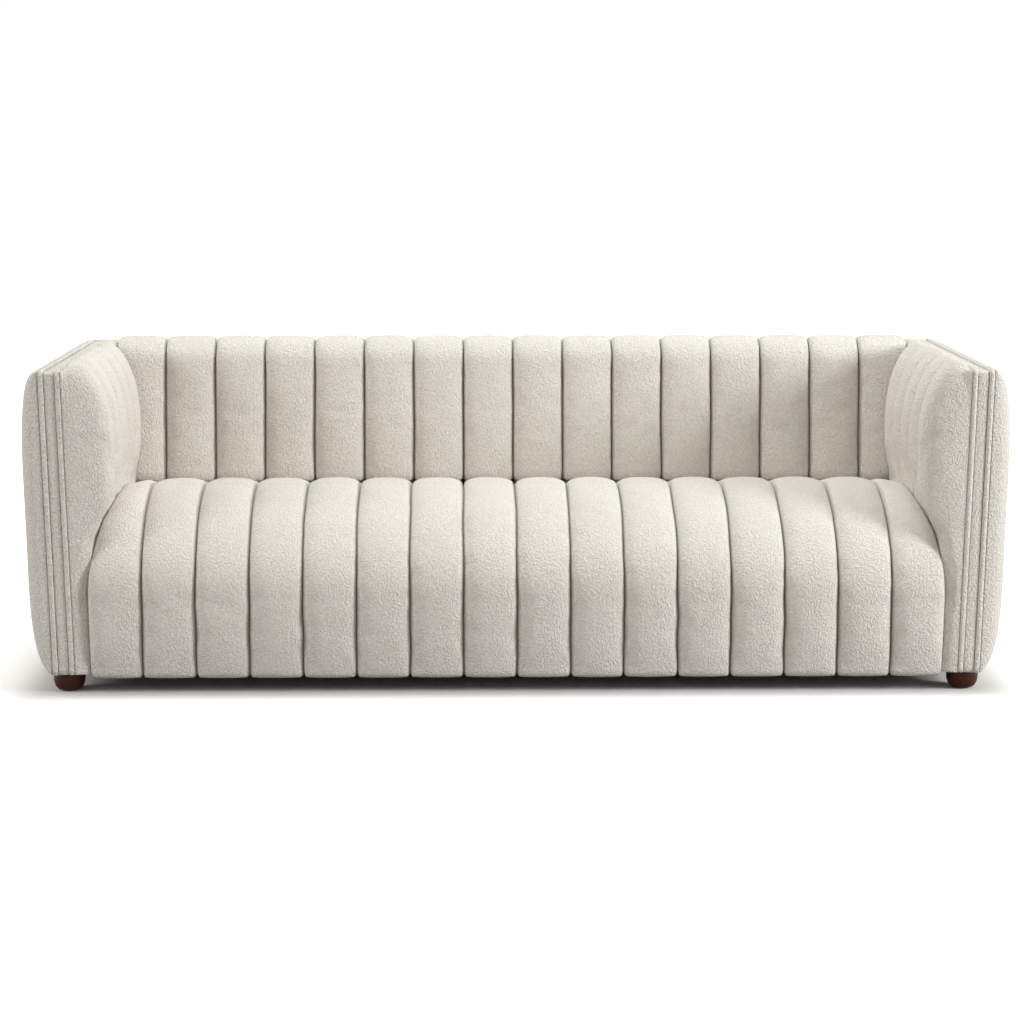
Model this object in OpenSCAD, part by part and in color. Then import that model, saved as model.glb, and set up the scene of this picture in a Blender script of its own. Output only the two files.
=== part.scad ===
// Three-seat tuxedo sofa with channelled seat, back and inside arms.
// Millimetres. +X is to the right as seen from the front, +Y to the rear, +Z up.
// Left and right are as seen from the front.
// The origin is on the floor under the middle of the sofa.

/* [Overall] */
// Width over the fullest part of the outside arms
overall_w = 2150; // [1800:10:2400]
// Depth from the crowns of the seat front to the outside back
overall_d = 890; // [870:5:960]
// Height to the crowns of the back channels
overall_h = 730; // [720:2:780]

/* [Seat] */
// Height of the seat channels' crowns above the floor
seat_h = 431; // [420:1:440]
// Channels across the seat
seat_channels = 16; // [10:1:18]
// How far back the rounding of the seat front reaches
seat_roll_d = 352; // [300:2:400]
// Height of the fullest point of the seat front
seat_full_z = 216; // [190:1:240]
// Height of the seat front's lower edge
seat_hem_z = 36; // [30:1:44]
// How far the lower edge of the seat front is drawn in
seat_tuck = 12; // [4:1:16]
// Rise of the channels over their seams on the seat front
seat_front_crown = 18; // [10:1:22]
// Rise of the channels over their seams on the seat top
seat_top_crown = 12; // [6:1:16]
// Slope of the seat down to the back, behind its crest
seat_pitch = 10; // [8:0.5:11]
// Distance from the seat's front seams at which that slope starts
seat_pitch_y = 287; // [280:1:300]
// How far the arms squeeze the seat's ends in, behind its front
seat_squeeze = 50; // [44:1:56]
// Depth over which the ends are squeezed in
seat_squeeze_d = 330; // [310:5:350]
// Thickness of the channelled covers with their fill, at the seams
cover_t = 26; // [20:1:28]

/* [Back] */
// Channels across the inside back
back_channels = 16; // [10:1:18]
// Thickness of the back at seat height, from its inside seams to its outside edge seams
back_t = 232; // [224:2:260]
// Lean of the inside back
back_recline = 5.75; // [3:0.25:7]
// Rise of the channels over their seams on the inside back
back_face_crown = 20; // [10:1:22]
// Rise of the channels over their seams on the back's top
back_top_crown = 8; // [4:1:10]
// Depth of the rounding at the top of the inside back
back_round_d = 60; // [50:1:70]
// Height of the rounding at the top of the inside back
back_round_h = 50; // [40:1:60]
// Fullness of the outside back pad over its edge seams
back_pad_bulge = 30; // [20:1:34]

/* [Arms] */
// Thickness of an arm from its fullest outside to its crowns inside
arm_w = 195; // [185:1:205]
// Outward lean of the arms
arm_splay = 1.65; // [1:0.05:2]
// Rolls along each inside arm
arm_rolls = 5; // [3:1:7]
// Depth of the seams between the rolls of the inside arm
arm_seam_d = 23; // [12:1:26]
// Depth of those seams on top of the arm
arm_top_seam_d = 8; // [4:1:10]
// How far the arm's crest lies below the back's crowns
arm_drop = 3; // [0:1:6]
// Width of the rounding at the top of the inside arm
arm_round_w = 85; // [75:1:90]
// From the seat's crowns to where the rounding of the inside arm begins
arm_flat_h = 106; // [100:1:126]
// Depth of the rounding at the front of the inside arm
arm_nose_d = 60; // [45:1:70]
// Thickness of the inside arm cover beside the seat
arm_skirt_t = 22; // [18:1:28]
// Height over which the inside arm swells out above the seat
arm_swell_h = 100; // [90:1:104]
// Height of the lower edge of the arms and the outside back
arm_hem_z = 45; // [40:1:47]
// Fullness of the outside arm pad over its edge seams
arm_pad_bulge = 50; // [35:1:56]
// Depth of the rounding at the ends of the outside pads
pad_round_d = 60; // [40:1:80]

/* [Trim] */
// Width of the flat band
band_w = 24; // [18:1:30]
// Thickness of the flat band
band_t = 8; // [5:1:10]
// Diameter of the welts beside the band
welt_d = 12; // [8:0.5:13]
// How far the band's top lies below the back's crowns
band_drop = 22; // [20:1:26]

/* [Feet] */
// Height of a foot with its glide
foot_h = 45; // [42:1:60]
// Fullest diameter of a foot
foot_d = 70; // [60:1:80]
// Diameter of a foot's flat base
foot_base_d = 40; // [36:1:50]
// Diameter of a foot's top
foot_top_d = 62; // [56:1:64]
// Height of a foot's fullest ring above the floor
foot_full_z = 30; // [24:1:34]
// Thickness of a glide
glide_t = 2.5; // [2:0.5:5]
// Diameter of a glide
glide_d = 34; // [24:1:36]
// From the arm front to the middle of a front foot
foot_front_inset = 60; // [50:1:80]
// From the frame's rear face to the middle of a rear foot
foot_rear_inset = 62; // [50:1:80]
// How far the feet stand inward of the arm frame's middle
foot_side_inset = 4; // [0:0.5:5]
// Thickness of a foot plate
foot_plate_t = 3; // [2:0.5:4]
// Length of a foot plate
foot_plate_l = 62; // [56:1:66]
// Width of a foot plate
foot_plate_w = 32; // [28:1:33]
// Diameter of a foot's hanger bolt
foot_bolt_d = 8; // [6:1:10]
// Length of the hanger bolt inside the foot
bolt_in_foot = 26; // [18:1:30]
// Length of the hanger bolt above the foot
bolt_in_frame = 32; // [20:1:40]
// Diameter of a plate screw
plate_screw_d = 4; // [3:0.5:4.5]
// Length of a plate screw
plate_screw_l = 20; // [14:1:30]
// Diameter of a plate screw's head
plate_head_d = 7.6; // [7:0.2:8]
// From a plate screw's middle to the plate's nearest edge
plate_margin = 7; // [6:0.5:8]

/* [Frame] */
// Thickness of the frame's boards
board_t = 28; // [22:1:30]
// Thickness of the arm frames
arm_frame_t = 42; // [38:1:42]
// Depth of the arms' front posts
front_post_d = 90; // [84:1:110]
// Depth of the back frame
back_frame_d = 80; // [70:1:90]
// From the seat's crowns down to the top of the seat frame's rails
seat_build_h = 141; // [134:1:160]
// From the seat's crowns down to the tack rails' lower edge
tack_rail_drop = 91; // [81:1:101]
// Height of a tack rail
tack_rail_h = 50; // [40:1:60]
// Height of an arm's top rail
arm_rail_h = 46; // [36:1:60]
// Height of the seat stretchers
stretcher_h = 70; // [50:1:90]
// From the middle of the sofa to a seat stretcher's middle
stretcher_x = 315; // [250:5:400]
// From the middle of the sofa to a mid post's middle
mid_post_x = 330; // [250:5:400]
// Depth of the seat front's fill at its seams, from the cover to the front rail
front_fill_d = 24; // [18:1:30]
// Side of a corner block
corner_block_w = 95; // [80:1:110]
// Height of a corner block
corner_block_h = 60; // [50:1:70]
// Diameter of a corner block's screws
block_screw_d = 5; // [4:0.5:6]
// Length of a corner block's screws
block_screw_l = 60; // [52:1:66]
// Diameter of a corner block screw's head
block_head_d = 10; // [9:0.5:11]
// Thickness of a corner block screw's head
block_head_t = 3; // [2:0.5:4]
// Depth of a corner block screw's thread inside its rail
block_screw_in = 20; // [14:1:21]
// Thickness of the inside arm panels
panel_t = 3; // [2:0.25:3]
// Thickness of the outside boards
outer_board_t = 2.8; // [2:0.1:3]

/* [Springs] */
// Seat springs side by side
springs = 12; // [6:1:14]
// Cross bars in one seat spring
spring_bars = 18; // [10:2:24]
// Diameter of the spring wire
spring_wire_d = 3.8; // [3:0.1:4.2]
// Width of a seat spring
spring_w = 46; // [36:1:56]
// Rise of the springs at the middle of the seat
spring_rise = 26; // [10:1:28]
// From the arm frame's inner face to the nearest spring's middle
spring_edge = 120; // [90:5:150]
// Outside diameter of a spring clip
clip_d = 9; // [8:0.5:10]
// Width of a spring clip
clip_w = 18; // [12:1:20]
// Length of a spring clip's foot along the rail's thickness
clip_foot_l = 18; // [15:1:20]
// Thickness of a spring clip's foot
clip_foot_t = 1.6; // [1.2:0.1:2]
// Wires that tie the springs together
tie_wires_n = 3; // [2:1:4]
// Diameter of a tie wire
tie_wire_d = 2.4; // [1.6:0.1:3]
// Thickness of the felt on the springs
felt_t = 4; // [2:0.5:6]

/* [Webbing and underside] */
// Width of a webbing strap
strap_w = 50; // [40:1:60]
// Thickness of a webbing strap
strap_t = 1.6; // [1:0.1:2]
// Upright straps across the back
upright_straps = 12; // [6:1:16]
// Straps that run across the back
cross_straps = 3; // [2:1:4]
// Thickness of the dust cover
dust_t = 1; // [0.6:0.1:1.6]
// From the arm frame's outer face to the dust cover's edge
dust_margin = 6; // [3:1:12]

/* [Hidden] */
// Clearance between wooden and steel pieces that touch
fit_gap = 0.1;
// Clearance of a soft piece from its neighbours
soft_gap = 0.3;
// Thickness of a soft pad at its edge seam
edge_t = 3;
// Overrun of a cut
over = 1;
// Roundness of the seat's and back's curves, 2 is an ellipse
curve_n = 2.1;
// Roundness of the noses at the pads' ends
nose_n = 2.5;
// Roundness of a channel's section
channel_n = 0.62;
// Fullness of the outside pads below and above their middle
low_n = 4;
high_n = 2.8;
// Shares along a channel where its section is drawn
channel_shares = [0, 0.13, 0.5, 0.87];
// Shares along an arm roll where its section is drawn
roll_shares = [0, 0.1, 0.32, 0.68, 0.9];
// Share of the arm pads' height at which they are fullest in width
full_share = 0.575;
// Length of the rear of the seat in which the channels flatten, under the back
fade_d = 40;
// Depth over which the seat's slope sets in
pitch_ease_d = 160;
// Clearance of the inside arms from the seat's squeezed ends
end_gap = 1;
// Facets of plain round pieces
$fn = 32;

wood_colour = "burlywood";
steel_colour = "silver";
fabric_colour = [0.93, 0.92, 0.89];
foam_colour = [0.95, 0.88, 0.62];
foot_colour = [0.25, 0.08, 0.05];
felt_colour = "gray";

// Heights
base_z = foot_h + foot_plate_t;
seat_rail_z = seat_h - seat_build_h;
tack_rail_z = seat_h - tack_rail_drop;
frame_top_z = overall_h - band_drop - band_t;
pad_top_z = frame_top_z + welt_d * 3 / 4;
seat_seam_z = seat_h - seat_top_crown;
back_seam_z = overall_h - back_top_crown;
back_bend_z = back_seam_z - back_round_h;
arm_crest_z = overall_h - arm_drop;
arm_bend_z = seat_h + arm_flat_h;

// Half sizes across the band: the frame, the welt's middle, and the pads' edge seams
frame_half = arm_frame_t / 2;
welt_u = band_w / 2 + fit_gap + welt_d / 2;
seam_half = welt_u + welt_d / 2 + soft_gap;

// Places from front to rear
front_y = -overall_d / 2;
seam_y = front_y + seat_front_crown;
arm_front_y = seam_y;
post_front_y = arm_front_y + band_t + fit_gap;
// The front rail stands far enough back for its top edge to clear the cover's curve
rail_off = cover_t + 2 * soft_gap;
rail_share = (seat_rail_z - seat_full_z) / (seat_seam_z - seat_full_z - rail_off);
front_rail_y = seam_y + max(cover_t + soft_gap + front_fill_d,
    rail_off + (seat_roll_d - rail_off) * (1 - pow(1 - pow(clamp01(rail_share), curve_n), 1 / curve_n)));
post_rear_y = post_front_y + front_post_d;
back_edge_y = overall_d / 2 - back_pad_bulge;
seat_depth = back_edge_y - back_t - seam_y;
seat_low_y = seam_y + seat_depth - back_face_crown;
back_hem_z = seat_h - seat_fall(seat_low_y) + soft_gap;
back_mid_y = back_edge_y - seam_half;
frame_rear_y = back_mid_y + frame_half;
frame_front_y = frame_rear_y - back_frame_d;
webbing_y = frame_front_y - fit_gap - 2 * strap_t - fit_gap;
seat_rear_y = webbing_y - soft_gap;
back_rim_y = back_mid_y - seam_half;

// Places from side to side
arm_full_z = arm_hem_z + full_share * (pad_top_z - arm_hem_z);
arm_base_x = overall_w / 2 - arm_pad_bulge - seam_half - (arm_full_z - base_z) * tan(arm_splay);
arm_face_x = overall_w / 2 - arm_w;
seat_half = arm_x(base_z, -seam_half) - arm_skirt_t;
skirt_x = seat_half + soft_gap;
arm_crest_x = arm_face_x + arm_round_w;
foot_x = arm_base_x - foot_side_inset;
foot_front_y = arm_front_y + foot_front_inset;
foot_rear_y = frame_rear_y - foot_rear_inset;

// Distance of a leaning plane of the arm from the sofa's middle: u is outward of the arm's middle
function arm_x(z, u) = arm_base_x + (z - base_z) * tan(arm_splay) + u / cos(arm_splay);
// Height along the leaning arm frame
function arm_w_at(z) = (z - base_z) / cos(arm_splay);
function mix(a, b, s) = a + (b - a) * s;
function clamp01(s) = max(0, min(1, s));
function smooth(s) = clamp01(s) * clamp01(s) * (3 - 2 * clamp01(s));
// Rise of a channel at a share of its width, from 0 at the seams to 1 at the crown
function rise(t) = pow(abs(sin(180 * t)), channel_n);
function sup_cos(a, n) = pow(max(0, cos(a)), 2 / n);
function sup_sin(a, n) = pow(max(0, sin(a)), 2 / n);

// Grids of points, stored column by column
function at(c, r, rows) = c * rows + r;
function grid_faces(cols, rows) = [
    for (c = [0 : cols - 2], r = [0 : rows - 2])
        each [[at(c, r, rows), at(c, r + 1, rows), at(c + 1, r + 1, rows)],
              [at(c, r, rows), at(c + 1, r + 1, rows), at(c + 1, r, rows)]]
];
function bottom_side(cols, rows) = [for (c = [0 : cols - 2]) at(c, 0, rows)];
function rear_side(cols, rows) = [for (r = [0 : rows - 2]) at(cols - 1, r, rows)];
function top_side(cols, rows) = [for (c = [cols - 1 : -1 : 1]) at(c, rows - 1, rows)];
function front_side(cols, rows) = [for (r = [rows - 1 : -1 : 1]) at(0, r, rows)];
function rim_loop(cols, rows) = concat(bottom_side(cols, rows), rear_side(cols, rows),
                                       top_side(cols, rows), front_side(cols, rows));
function flat(grid) = [for (column = grid) each column];
function steps(from, count) = [for (i = [0 : count - 1]) from + i];
function reversed(list) = [for (i = [len(list) - 1 : -1 : 0]) list[i]];
function fan(loop) = [for (i = [1 : len(loop) - 2]) [loop[0], loop[i], loop[i + 1]]];

// A pad over a plane: a grid of points, and a rim with one point per edge point of the grid.
// An optional pocket opens in the rim's plane from grid column first on: one section per column.
// A pad whose columns run the other way round is turned.
module pad(grid, rim, pocket = [], first = 0, turned = false) {
    cols = len(grid);
    rows = len(grid[0]);
    loop = rim_loop(cols, rows);
    n = cols * rows;
    m = len(loop);
    depth = len(pocket);
    k = depth == 0 ? 0 : len(pocket[0]);
    last = first + depth - 1;
    walls = [for (i = [0 : m - 1]) let (j = (i + 1) % m)
        each [[loop[i], loop[j], n + j], [loop[i], n + j, n + i]]];
    // Rim points below and above a column, and the pocket's low and high edge there
    low = function (c) n + c;
    high = function (c) n + (c == 0 ? m - rows + 1 : cols + rows - 2 + cols - 1 - c);
    deep = function (c, i) n + m + (c - first) * k + i;
    // The back is cut into strips that run from each column to the next
    strips = [for (c = [1 : cols - 3])
        each depth == 0 || c < first - 1 || c > last
            ? [[low(c), low(c + 1), high(c + 1)], [low(c), high(c + 1), high(c)]]
            : c == first - 1 ? fan([low(c), low(c + 1), deep(first, 0), deep(first, k - 1), high(c + 1), high(c)])
            : c == last ? fan([low(c + 1), high(c + 1), high(c), deep(last, k - 1), deep(last, 0), low(c)])
            : [[low(c), low(c + 1), deep(c + 1, 0)], [low(c), deep(c + 1, 0), deep(c, 0)],
               [deep(c, k - 1), deep(c + 1, k - 1), high(c + 1)], [deep(c, k - 1), high(c + 1), high(c)]]];
    ends = concat(fan(concat([low(1), high(1)], [for (i = [m - rows + 1 : m - 1]) n + i], [low(0)])),
                  fan(concat([high(cols - 2), low(cols - 2)],
                             [for (i = [cols - 1 : cols + rows - 2]) n + i])));
    inside = depth == 0 ? [] : concat(
        fan([for (i = [0 : k - 1]) deep(first, i)]), fan([for (i = [k - 1 : -1 : 0]) deep(last, i)]),
        [for (c = [first : last - 1], i = [0 : k - 2])
            each [[deep(c, i), deep(c + 1, i), deep(c + 1, i + 1)],
                  [deep(c, i), deep(c + 1, i + 1), deep(c, i + 1)]]]);
    faces = concat(grid_faces(cols, rows), walls, strips, ends, inside);
    polyhedron(points = concat(flat(grid), rim, flat(pocket)),
               faces = turned ? [for (f = faces) reversed(f)] : faces);
}

// A cover that is channelled outside and smooth inside. Its grid has the same number of columns
// in each channel, and its smooth side has one line per seam, given as depth and height.
module skin(grid, line, per_channel) {
    cols = len(grid);
    rows = len(grid[0]);
    seams = (cols - 1) / per_channel;
    n = cols * rows;
    in = function (j, r) n + j * rows + r;
    side = function (c, j, turn) [for (r = [0 : rows - 2])
        let (a = at(c, r, rows), b = at(c, r + 1, rows), d = in(j, r), e = in(j, r + 1))
        each turn ? [[a, d, e], [a, e, b]] : [[a, e, d], [a, b, e]]];
    edge = function (r, turn) [for (j = [0 : seams - 1])
        let (outer = [for (i = [0 : per_channel]) at(j * per_channel + i, r, rows)],
             f = fan(concat([in(j, r)], outer, [in(j + 1, r)])))
        each turn ? f : [for (t = f) reversed(t)]];
    inside = [for (j = [0 : seams - 1], r = [0 : rows - 2])
        each [[in(j, r), in(j + 1, r), in(j + 1, r + 1)], [in(j, r), in(j + 1, r + 1), in(j, r + 1)]]];
    polyhedron(points = concat(flat(grid), [for (j = [0 : seams], r = [0 : rows - 1])
                                            [grid[j * per_channel][r][0], line[r][0], line[r][1]]]),
               faces = concat(grid_faces(cols, rows), side(0, 0, true), side(cols - 1, seams, false),
                              edge(0, true), edge(rows - 1, false), inside));
}

module on_left(left = true) {
    if (left) mirror([1, 0, 0]) children();
    else children();
}
module in_arm_frame() translate([arm_base_x, 0, base_z]) rotate([0, arm_splay, 0]) children();
module arm_box(u0, u1, y0, y1, z0, z1) {
    in_arm_frame() translate([u0, y0, arm_w_at(z0)])
        cube([u1 - u0, y1 - y0, arm_w_at(z1) - arm_w_at(z0)]);
}
// A board across the sofa whose ends follow the leaning arms
module cross_board(y0, y1, z0, z1, u) {
    translate([0, y1, 0]) rotate([90, 0, 0]) linear_extrude(y1 - y0)
        polygon([[-arm_x(z0, u), z0], [arm_x(z0, u), z0], [arm_x(z1, u), z1], [-arm_x(z1, u), z1]]);
}
// Extrudes a drawing of depth and height across the sofa
module across(x0, x1) translate([x0, 0, 0]) rotate([90, 0, 90]) linear_extrude(x1 - x0) children();
module at_feet() {
    for (side = [-1, 1], y = [foot_front_y, foot_rear_y]) translate([side * foot_x, y, 0]) children();
}

/* Seat */
// A row of the seat's surface: zone 0 is the lower front, 1 the rounding, 2 the top
low_share = (seat_low_y - seam_y - seat_roll_d) / (seat_rear_y - seam_y - seat_roll_d);
seat_rows = [[0, 0], [0, 0.35], [0, 0.7], [1, 0], [1, 22], [1, 40], [1, 54], [1, 68], [1, 80], [1, 90],
             [2, low_share * 0.3], [2, low_share * 0.62], [2, low_share], [2, mix(low_share, 1, 0.4)], [2, 1]];
// Drop of the seat behind its crest, at a place from front to rear; it ends under the back
function seat_fall(y) =
    let (t = max(0, min(y, seat_low_y) - seam_y - seat_pitch_y))
    tan(seat_pitch) * (t < pitch_ease_d ? t * t / (2 * pitch_ease_d) : t - pitch_ease_d / 2);
// Half width of the seat, squeezed in between the arms
function seat_end(y) = seat_half - seat_squeeze * sin(90 * clamp01((y - seam_y) / seat_squeeze_d));
function seat_fade(y) = smooth((y - (seam_y + seat_depth)) / fade_d);
function seat_crown(row) =
    row[0] == 0 ? seat_front_crown * mix(0.75, 1, row[1])
    : row[0] == 1 ? mix(seat_front_crown, seat_top_crown, row[1] / 90) : seat_top_crown;
function seat_point(row, off) =
    row[0] == 0 ? [seam_y + off + seat_tuck * pow(1 - row[1], 2), mix(seat_hem_z, seat_full_z, row[1])]
    : let (y = row[0] == 1 ? seam_y + off + (seat_roll_d - off) * (1 - sup_cos(row[1], curve_n))
                           : mix(seam_y + seat_roll_d, seat_rear_y, row[1]),
           up = row[0] == 1 ? sup_sin(row[1], curve_n) : 1)
      [y, seat_full_z + (seat_seam_z - seat_full_z - off) * up - seat_fall(y)];
function seat_surface(row, t) =
    let (y = seat_point(row, 0)[0], up = mix(rise(t), 1, row[0] == 2 ? seat_fade(y) : 0))
    seat_point(row, -seat_crown(row) * up);
function seat_line(off) = [for (row = seat_rows) seat_point(row, off)];
// Height of the seat's crowns at a place from front to rear
function seat_crown_z(y) =
    let (full = seat_roll_d + seat_front_crown, s = clamp01((y - front_y) / full))
    mix(seat_full_z, seat_h, pow(1 - pow(1 - s, curve_n), 1 / curve_n)) - seat_fall(y);
function channel_places(count) =
    concat([for (i = [0 : count - 1], t = channel_shares) i + t], [count]);

module seat_channel_cover() {
    pitch = 2 * seat_half / seat_channels;
    inner = seat_half - pitch;
    // The end channels narrow as the seat's ends are squeezed in
    place_x = function (p, y)
        p < 1 ? mix(-seat_end(y), -inner, p)
        : p > seat_channels - 1 ? mix(inner, seat_end(y), p - seat_channels + 1) : -seat_half + p * pitch;
    grid = [for (p = channel_places(seat_channels)) [for (row = seat_rows)
        let (s = seat_surface(row, p - floor(p))) [place_x(p, seat_point(row, 0)[0]), s[0], s[1]]]];
    color(fabric_colour) skin(grid, seat_line(cover_t), len(channel_shares));
}

// Springs, felt and foam of the seat
clip_z = seat_rail_z + fit_gap + clip_d / 2;
spring_front_y = front_rail_y + board_t / 2;
spring_rear_y = frame_front_y + board_t / 2;
spring_x = arm_x(base_z, -frame_half) - spring_edge;
function spring_z(y) =
    let (s = (y - spring_front_y) / (spring_rear_y - spring_front_y))
    clip_z + spring_rise * 4 * s * (1 - s);
function spring_places() = [for (i = [0 : springs - 1]) mix(-spring_x, spring_x, i / (springs - 1))];
function arc_line(up) = [for (i = [0 : 12]) let (y = mix(spring_front_y, spring_rear_y, i / 12))
    [y, spring_z(y) + up]];
felt_low = clip_d / 2 + soft_gap;
felt_high = felt_low + felt_t;

module below_arc(up) {
    line = arc_line(up);
    polygon(concat([[front_y, 0], [front_y, line[0][1]]], line,
                   [[seat_rear_y + back_frame_d, line[12][1]], [seat_rear_y + back_frame_d, 0]]));
}
module seat_core(gap) {
    polygon(concat(seat_line(cover_t + gap), [[seat_rear_y, seat_hem_z]]));
}
// Plan of the seat's inside between its squeezed ends
module seat_plan(gap) {
    side = [for (s = [0 : 0.1 : 1]) let (y = seam_y + s * seat_squeeze_d) [seat_end(y) - gap, y]];
    edge = concat([[seat_half - gap, front_y]], side, [[seat_end(seat_rear_y) - gap, seat_rear_y + over]]);
    linear_extrude(overall_h) polygon(concat(edge, [for (p = reversed(edge)) [-p[0], p[1]]]));
}
module spring_felt() {
    felt_half = seat_end(seat_rear_y) - cover_t;
    color(felt_colour) across(-felt_half, felt_half) intersection() {
        difference() {
            below_arc(felt_high);
            below_arc(felt_low);
        }
        seat_core(soft_gap);
        translate([front_rail_y, base_z]) square([seat_rear_y - front_rail_y, seat_h]);
    }
}
module seat_foam() {
    color(foam_colour) intersection() {
        across(-seat_half, seat_half) difference() {
            seat_core(soft_gap);
            below_arc(felt_high + soft_gap);
        }
        seat_plan(0);
    }
}
module front_roll_foam() {
    foam_top_z = clip_z + felt_low;
    color(foam_colour) intersection() {
        across(-seat_half, seat_half) intersection() {
            seat_core(soft_gap);
            translate([front_y, base_z])
                square([front_rail_y - soft_gap - front_y, foam_top_z - base_z]);
        }
        seat_plan(0);
    }
}
// One wire of four sides swept along its points
module wire(points, r) {
    n = len(points);
    rings = [for (i = [0 : n - 1])
        let (t = points[min(n - 1, i + 1)] - points[max(0, i - 1)],
             side = cross(t / norm(t), [0, 0, 1]), up = cross(t / norm(t), side / norm(side)))
        each [for (k = [0 : 3]) points[i] + r * (cos(90 * k) * side / norm(side) + sin(90 * k) * up)]];
    polyhedron(points = rings, faces = concat([steps(0, 4)], [reversed(steps(4 * (n - 1), 4))],
        [for (i = [0 : n - 2], k = [0 : 3]) let (j = (k + 1) % 4)
            each [[4 * i + k, 4 * i + 4 + k, 4 * i + 4 + j], [4 * i + k, 4 * i + 4 + j, 4 * i + j]]]));
}
// Points of a sinuous spring: each bar, and the bend to the next one
function spring_points(x) =
    let (pitch = (spring_rear_y - spring_front_y) / (spring_bars - 1), half = spring_w / 2,
         bar = half - spring_wire_d * 2)
    [for (i = [0 : spring_bars - 1]) let (y = spring_front_y + i * pitch, s = i % 2 == 0 ? 1 : -1)
        each concat([[x - s * bar, y, spring_z(y)], [x + s * bar, y, spring_z(y)]],
            i == spring_bars - 1 ? [] : [[x + s * half, y + pitch / 2, spring_z(y + pitch / 2)]])];
module seat_springs() {
    color(steel_colour) for (x = spring_places()) wire(spring_points(x), spring_wire_d / 2);
}
module spring_clips(y, to_rear) {
    color(steel_colour) for (x = spring_places()) translate([x - clip_w / 2, y, clip_z])
        difference() {
            union() {
                rotate([0, 90, 0]) cylinder(d = clip_d, h = clip_w);
                translate([0, to_rear ? 0 : -clip_foot_l / 2, -clip_d / 2])
                    cube([clip_w, clip_foot_l / 2, clip_foot_t]);
            }
            translate([-over, 0, 0]) rotate([0, 90, 0])
                cylinder(d = spring_wire_d + 2 * fit_gap, h = clip_w + 2 * over);
        }
}
module spring_clips_front() spring_clips(spring_front_y, false);
module spring_clips_rear() spring_clips(spring_rear_y, true);
module tie_wires() {
    reach = spring_x + spring_w / 2;
    color(steel_colour) for (i = [1 : tie_wires_n])
        let (bar = round(i * (spring_bars - 1) / (tie_wires_n + 1)),
             y = mix(spring_front_y, spring_rear_y, bar / (spring_bars - 1)))
        translate([-reach, y, spring_z(y) - spring_wire_d / 2 - tie_wire_d / 2 - soft_gap])
            rotate([0, 90, 0]) cylinder(d = tie_wire_d, h = 2 * reach);
}

/* Seat frame */
// Screws of the corner blocks, drawn from the block's inner corner, and the bores for them
block_screw_z = base_z + corner_block_h / 2;
module at_blocks() {
    for (side = [0, 1], end = [0, 1])
        mirror([side, 0, 0]) translate([arm_x(base_z, -frame_half) - fit_gap, 0, 0])
            translate([0, end == 0 ? front_rail_y + board_t + fit_gap : frame_front_y - fit_gap, 0])
                mirror([0, end, 0]) children();
}
module block_screws(grow, length) {
    out = block_screw_l - block_screw_in;
    translate([-corner_block_w / 3, out, block_screw_z]) rotate([90, 0, 0]) {
        cylinder(d = block_screw_d + 2 * grow, h = length);
        cylinder(d = block_head_d + 2 * grow, h = block_head_t);
    }
    translate([-out, corner_block_w / 3, block_screw_z]) rotate([0, 90, 0]) {
        cylinder(d = block_screw_d + 2 * grow, h = length);
        cylinder(d = block_head_d + 2 * grow, h = block_head_t);
    }
}
module block_bores() at_blocks() block_screws(fit_gap, block_screw_l + fit_gap);
module corner_blocks() {
    color(wood_colour) at_blocks() difference() {
        translate([0, 0, base_z]) linear_extrude(corner_block_h)
            polygon([[0, 0], [-corner_block_w, 0], [0, corner_block_w]]);
        block_screws(fit_gap, block_screw_l + over);
        out = block_screw_l - block_screw_in;
        translate([-corner_block_w / 3, out, block_screw_z]) rotate([-90, 0, 0])
            cylinder(d = block_head_d + 2 * fit_gap, h = corner_block_w);
        translate([-out, corner_block_w / 3, block_screw_z]) rotate([0, -90, 0])
            cylinder(d = block_head_d + 2 * fit_gap, h = corner_block_w);
    }
}
module corner_block_screws() color(steel_colour) at_blocks() block_screws(0, block_screw_l);
module front_rail() {
    color(wood_colour) difference() {
        cross_board(front_rail_y, front_rail_y + board_t, base_z, seat_rail_z, -frame_half - fit_gap);
        block_bores();
    }
}
module rear_rail() {
    color(wood_colour) difference() {
        cross_board(frame_front_y, frame_front_y + board_t, base_z, seat_rail_z,
                    -frame_half - fit_gap);
        block_bores();
    }
}
module side_rail() {
    color(wood_colour) difference() {
        arm_box(-frame_half, frame_half, post_front_y, frame_rear_y, base_z - over, seat_rail_z);
        translate([0, post_front_y - over, base_z - board_t])
            cube([overall_w / 2, frame_rear_y - post_front_y + 2 * over, board_t]);
        block_bores();
        at_feet() foot_bores();
    }
}
module left_side_rail() on_left() side_rail();
module right_side_rail() on_left(false) side_rail();
module seat_stretchers() {
    y0 = front_rail_y + board_t + fit_gap;
    color(wood_colour) for (side = [-1, 1])
        translate([side * stretcher_x - board_t / 2, y0, base_z])
            cube([board_t, frame_front_y - fit_gap - y0, stretcher_h]);
}
module dust_cover() {
    reach = frame_half - dust_margin;
    color(felt_colour) translate([0, 0, base_z - fit_gap - dust_t]) linear_extrude(dust_t)
        difference() {
            x = arm_x(base_z, reach);
            translate([-x, front_rail_y]) square([2 * x, frame_rear_y - dust_margin - front_rail_y]);
            for (side = [-1, 1], y = [foot_front_y, foot_rear_y])
                translate([side * foot_x, y]) square([foot_d + foot_plate_t, foot_d + foot_plate_t],
                                                     center = true);
        }
}

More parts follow.
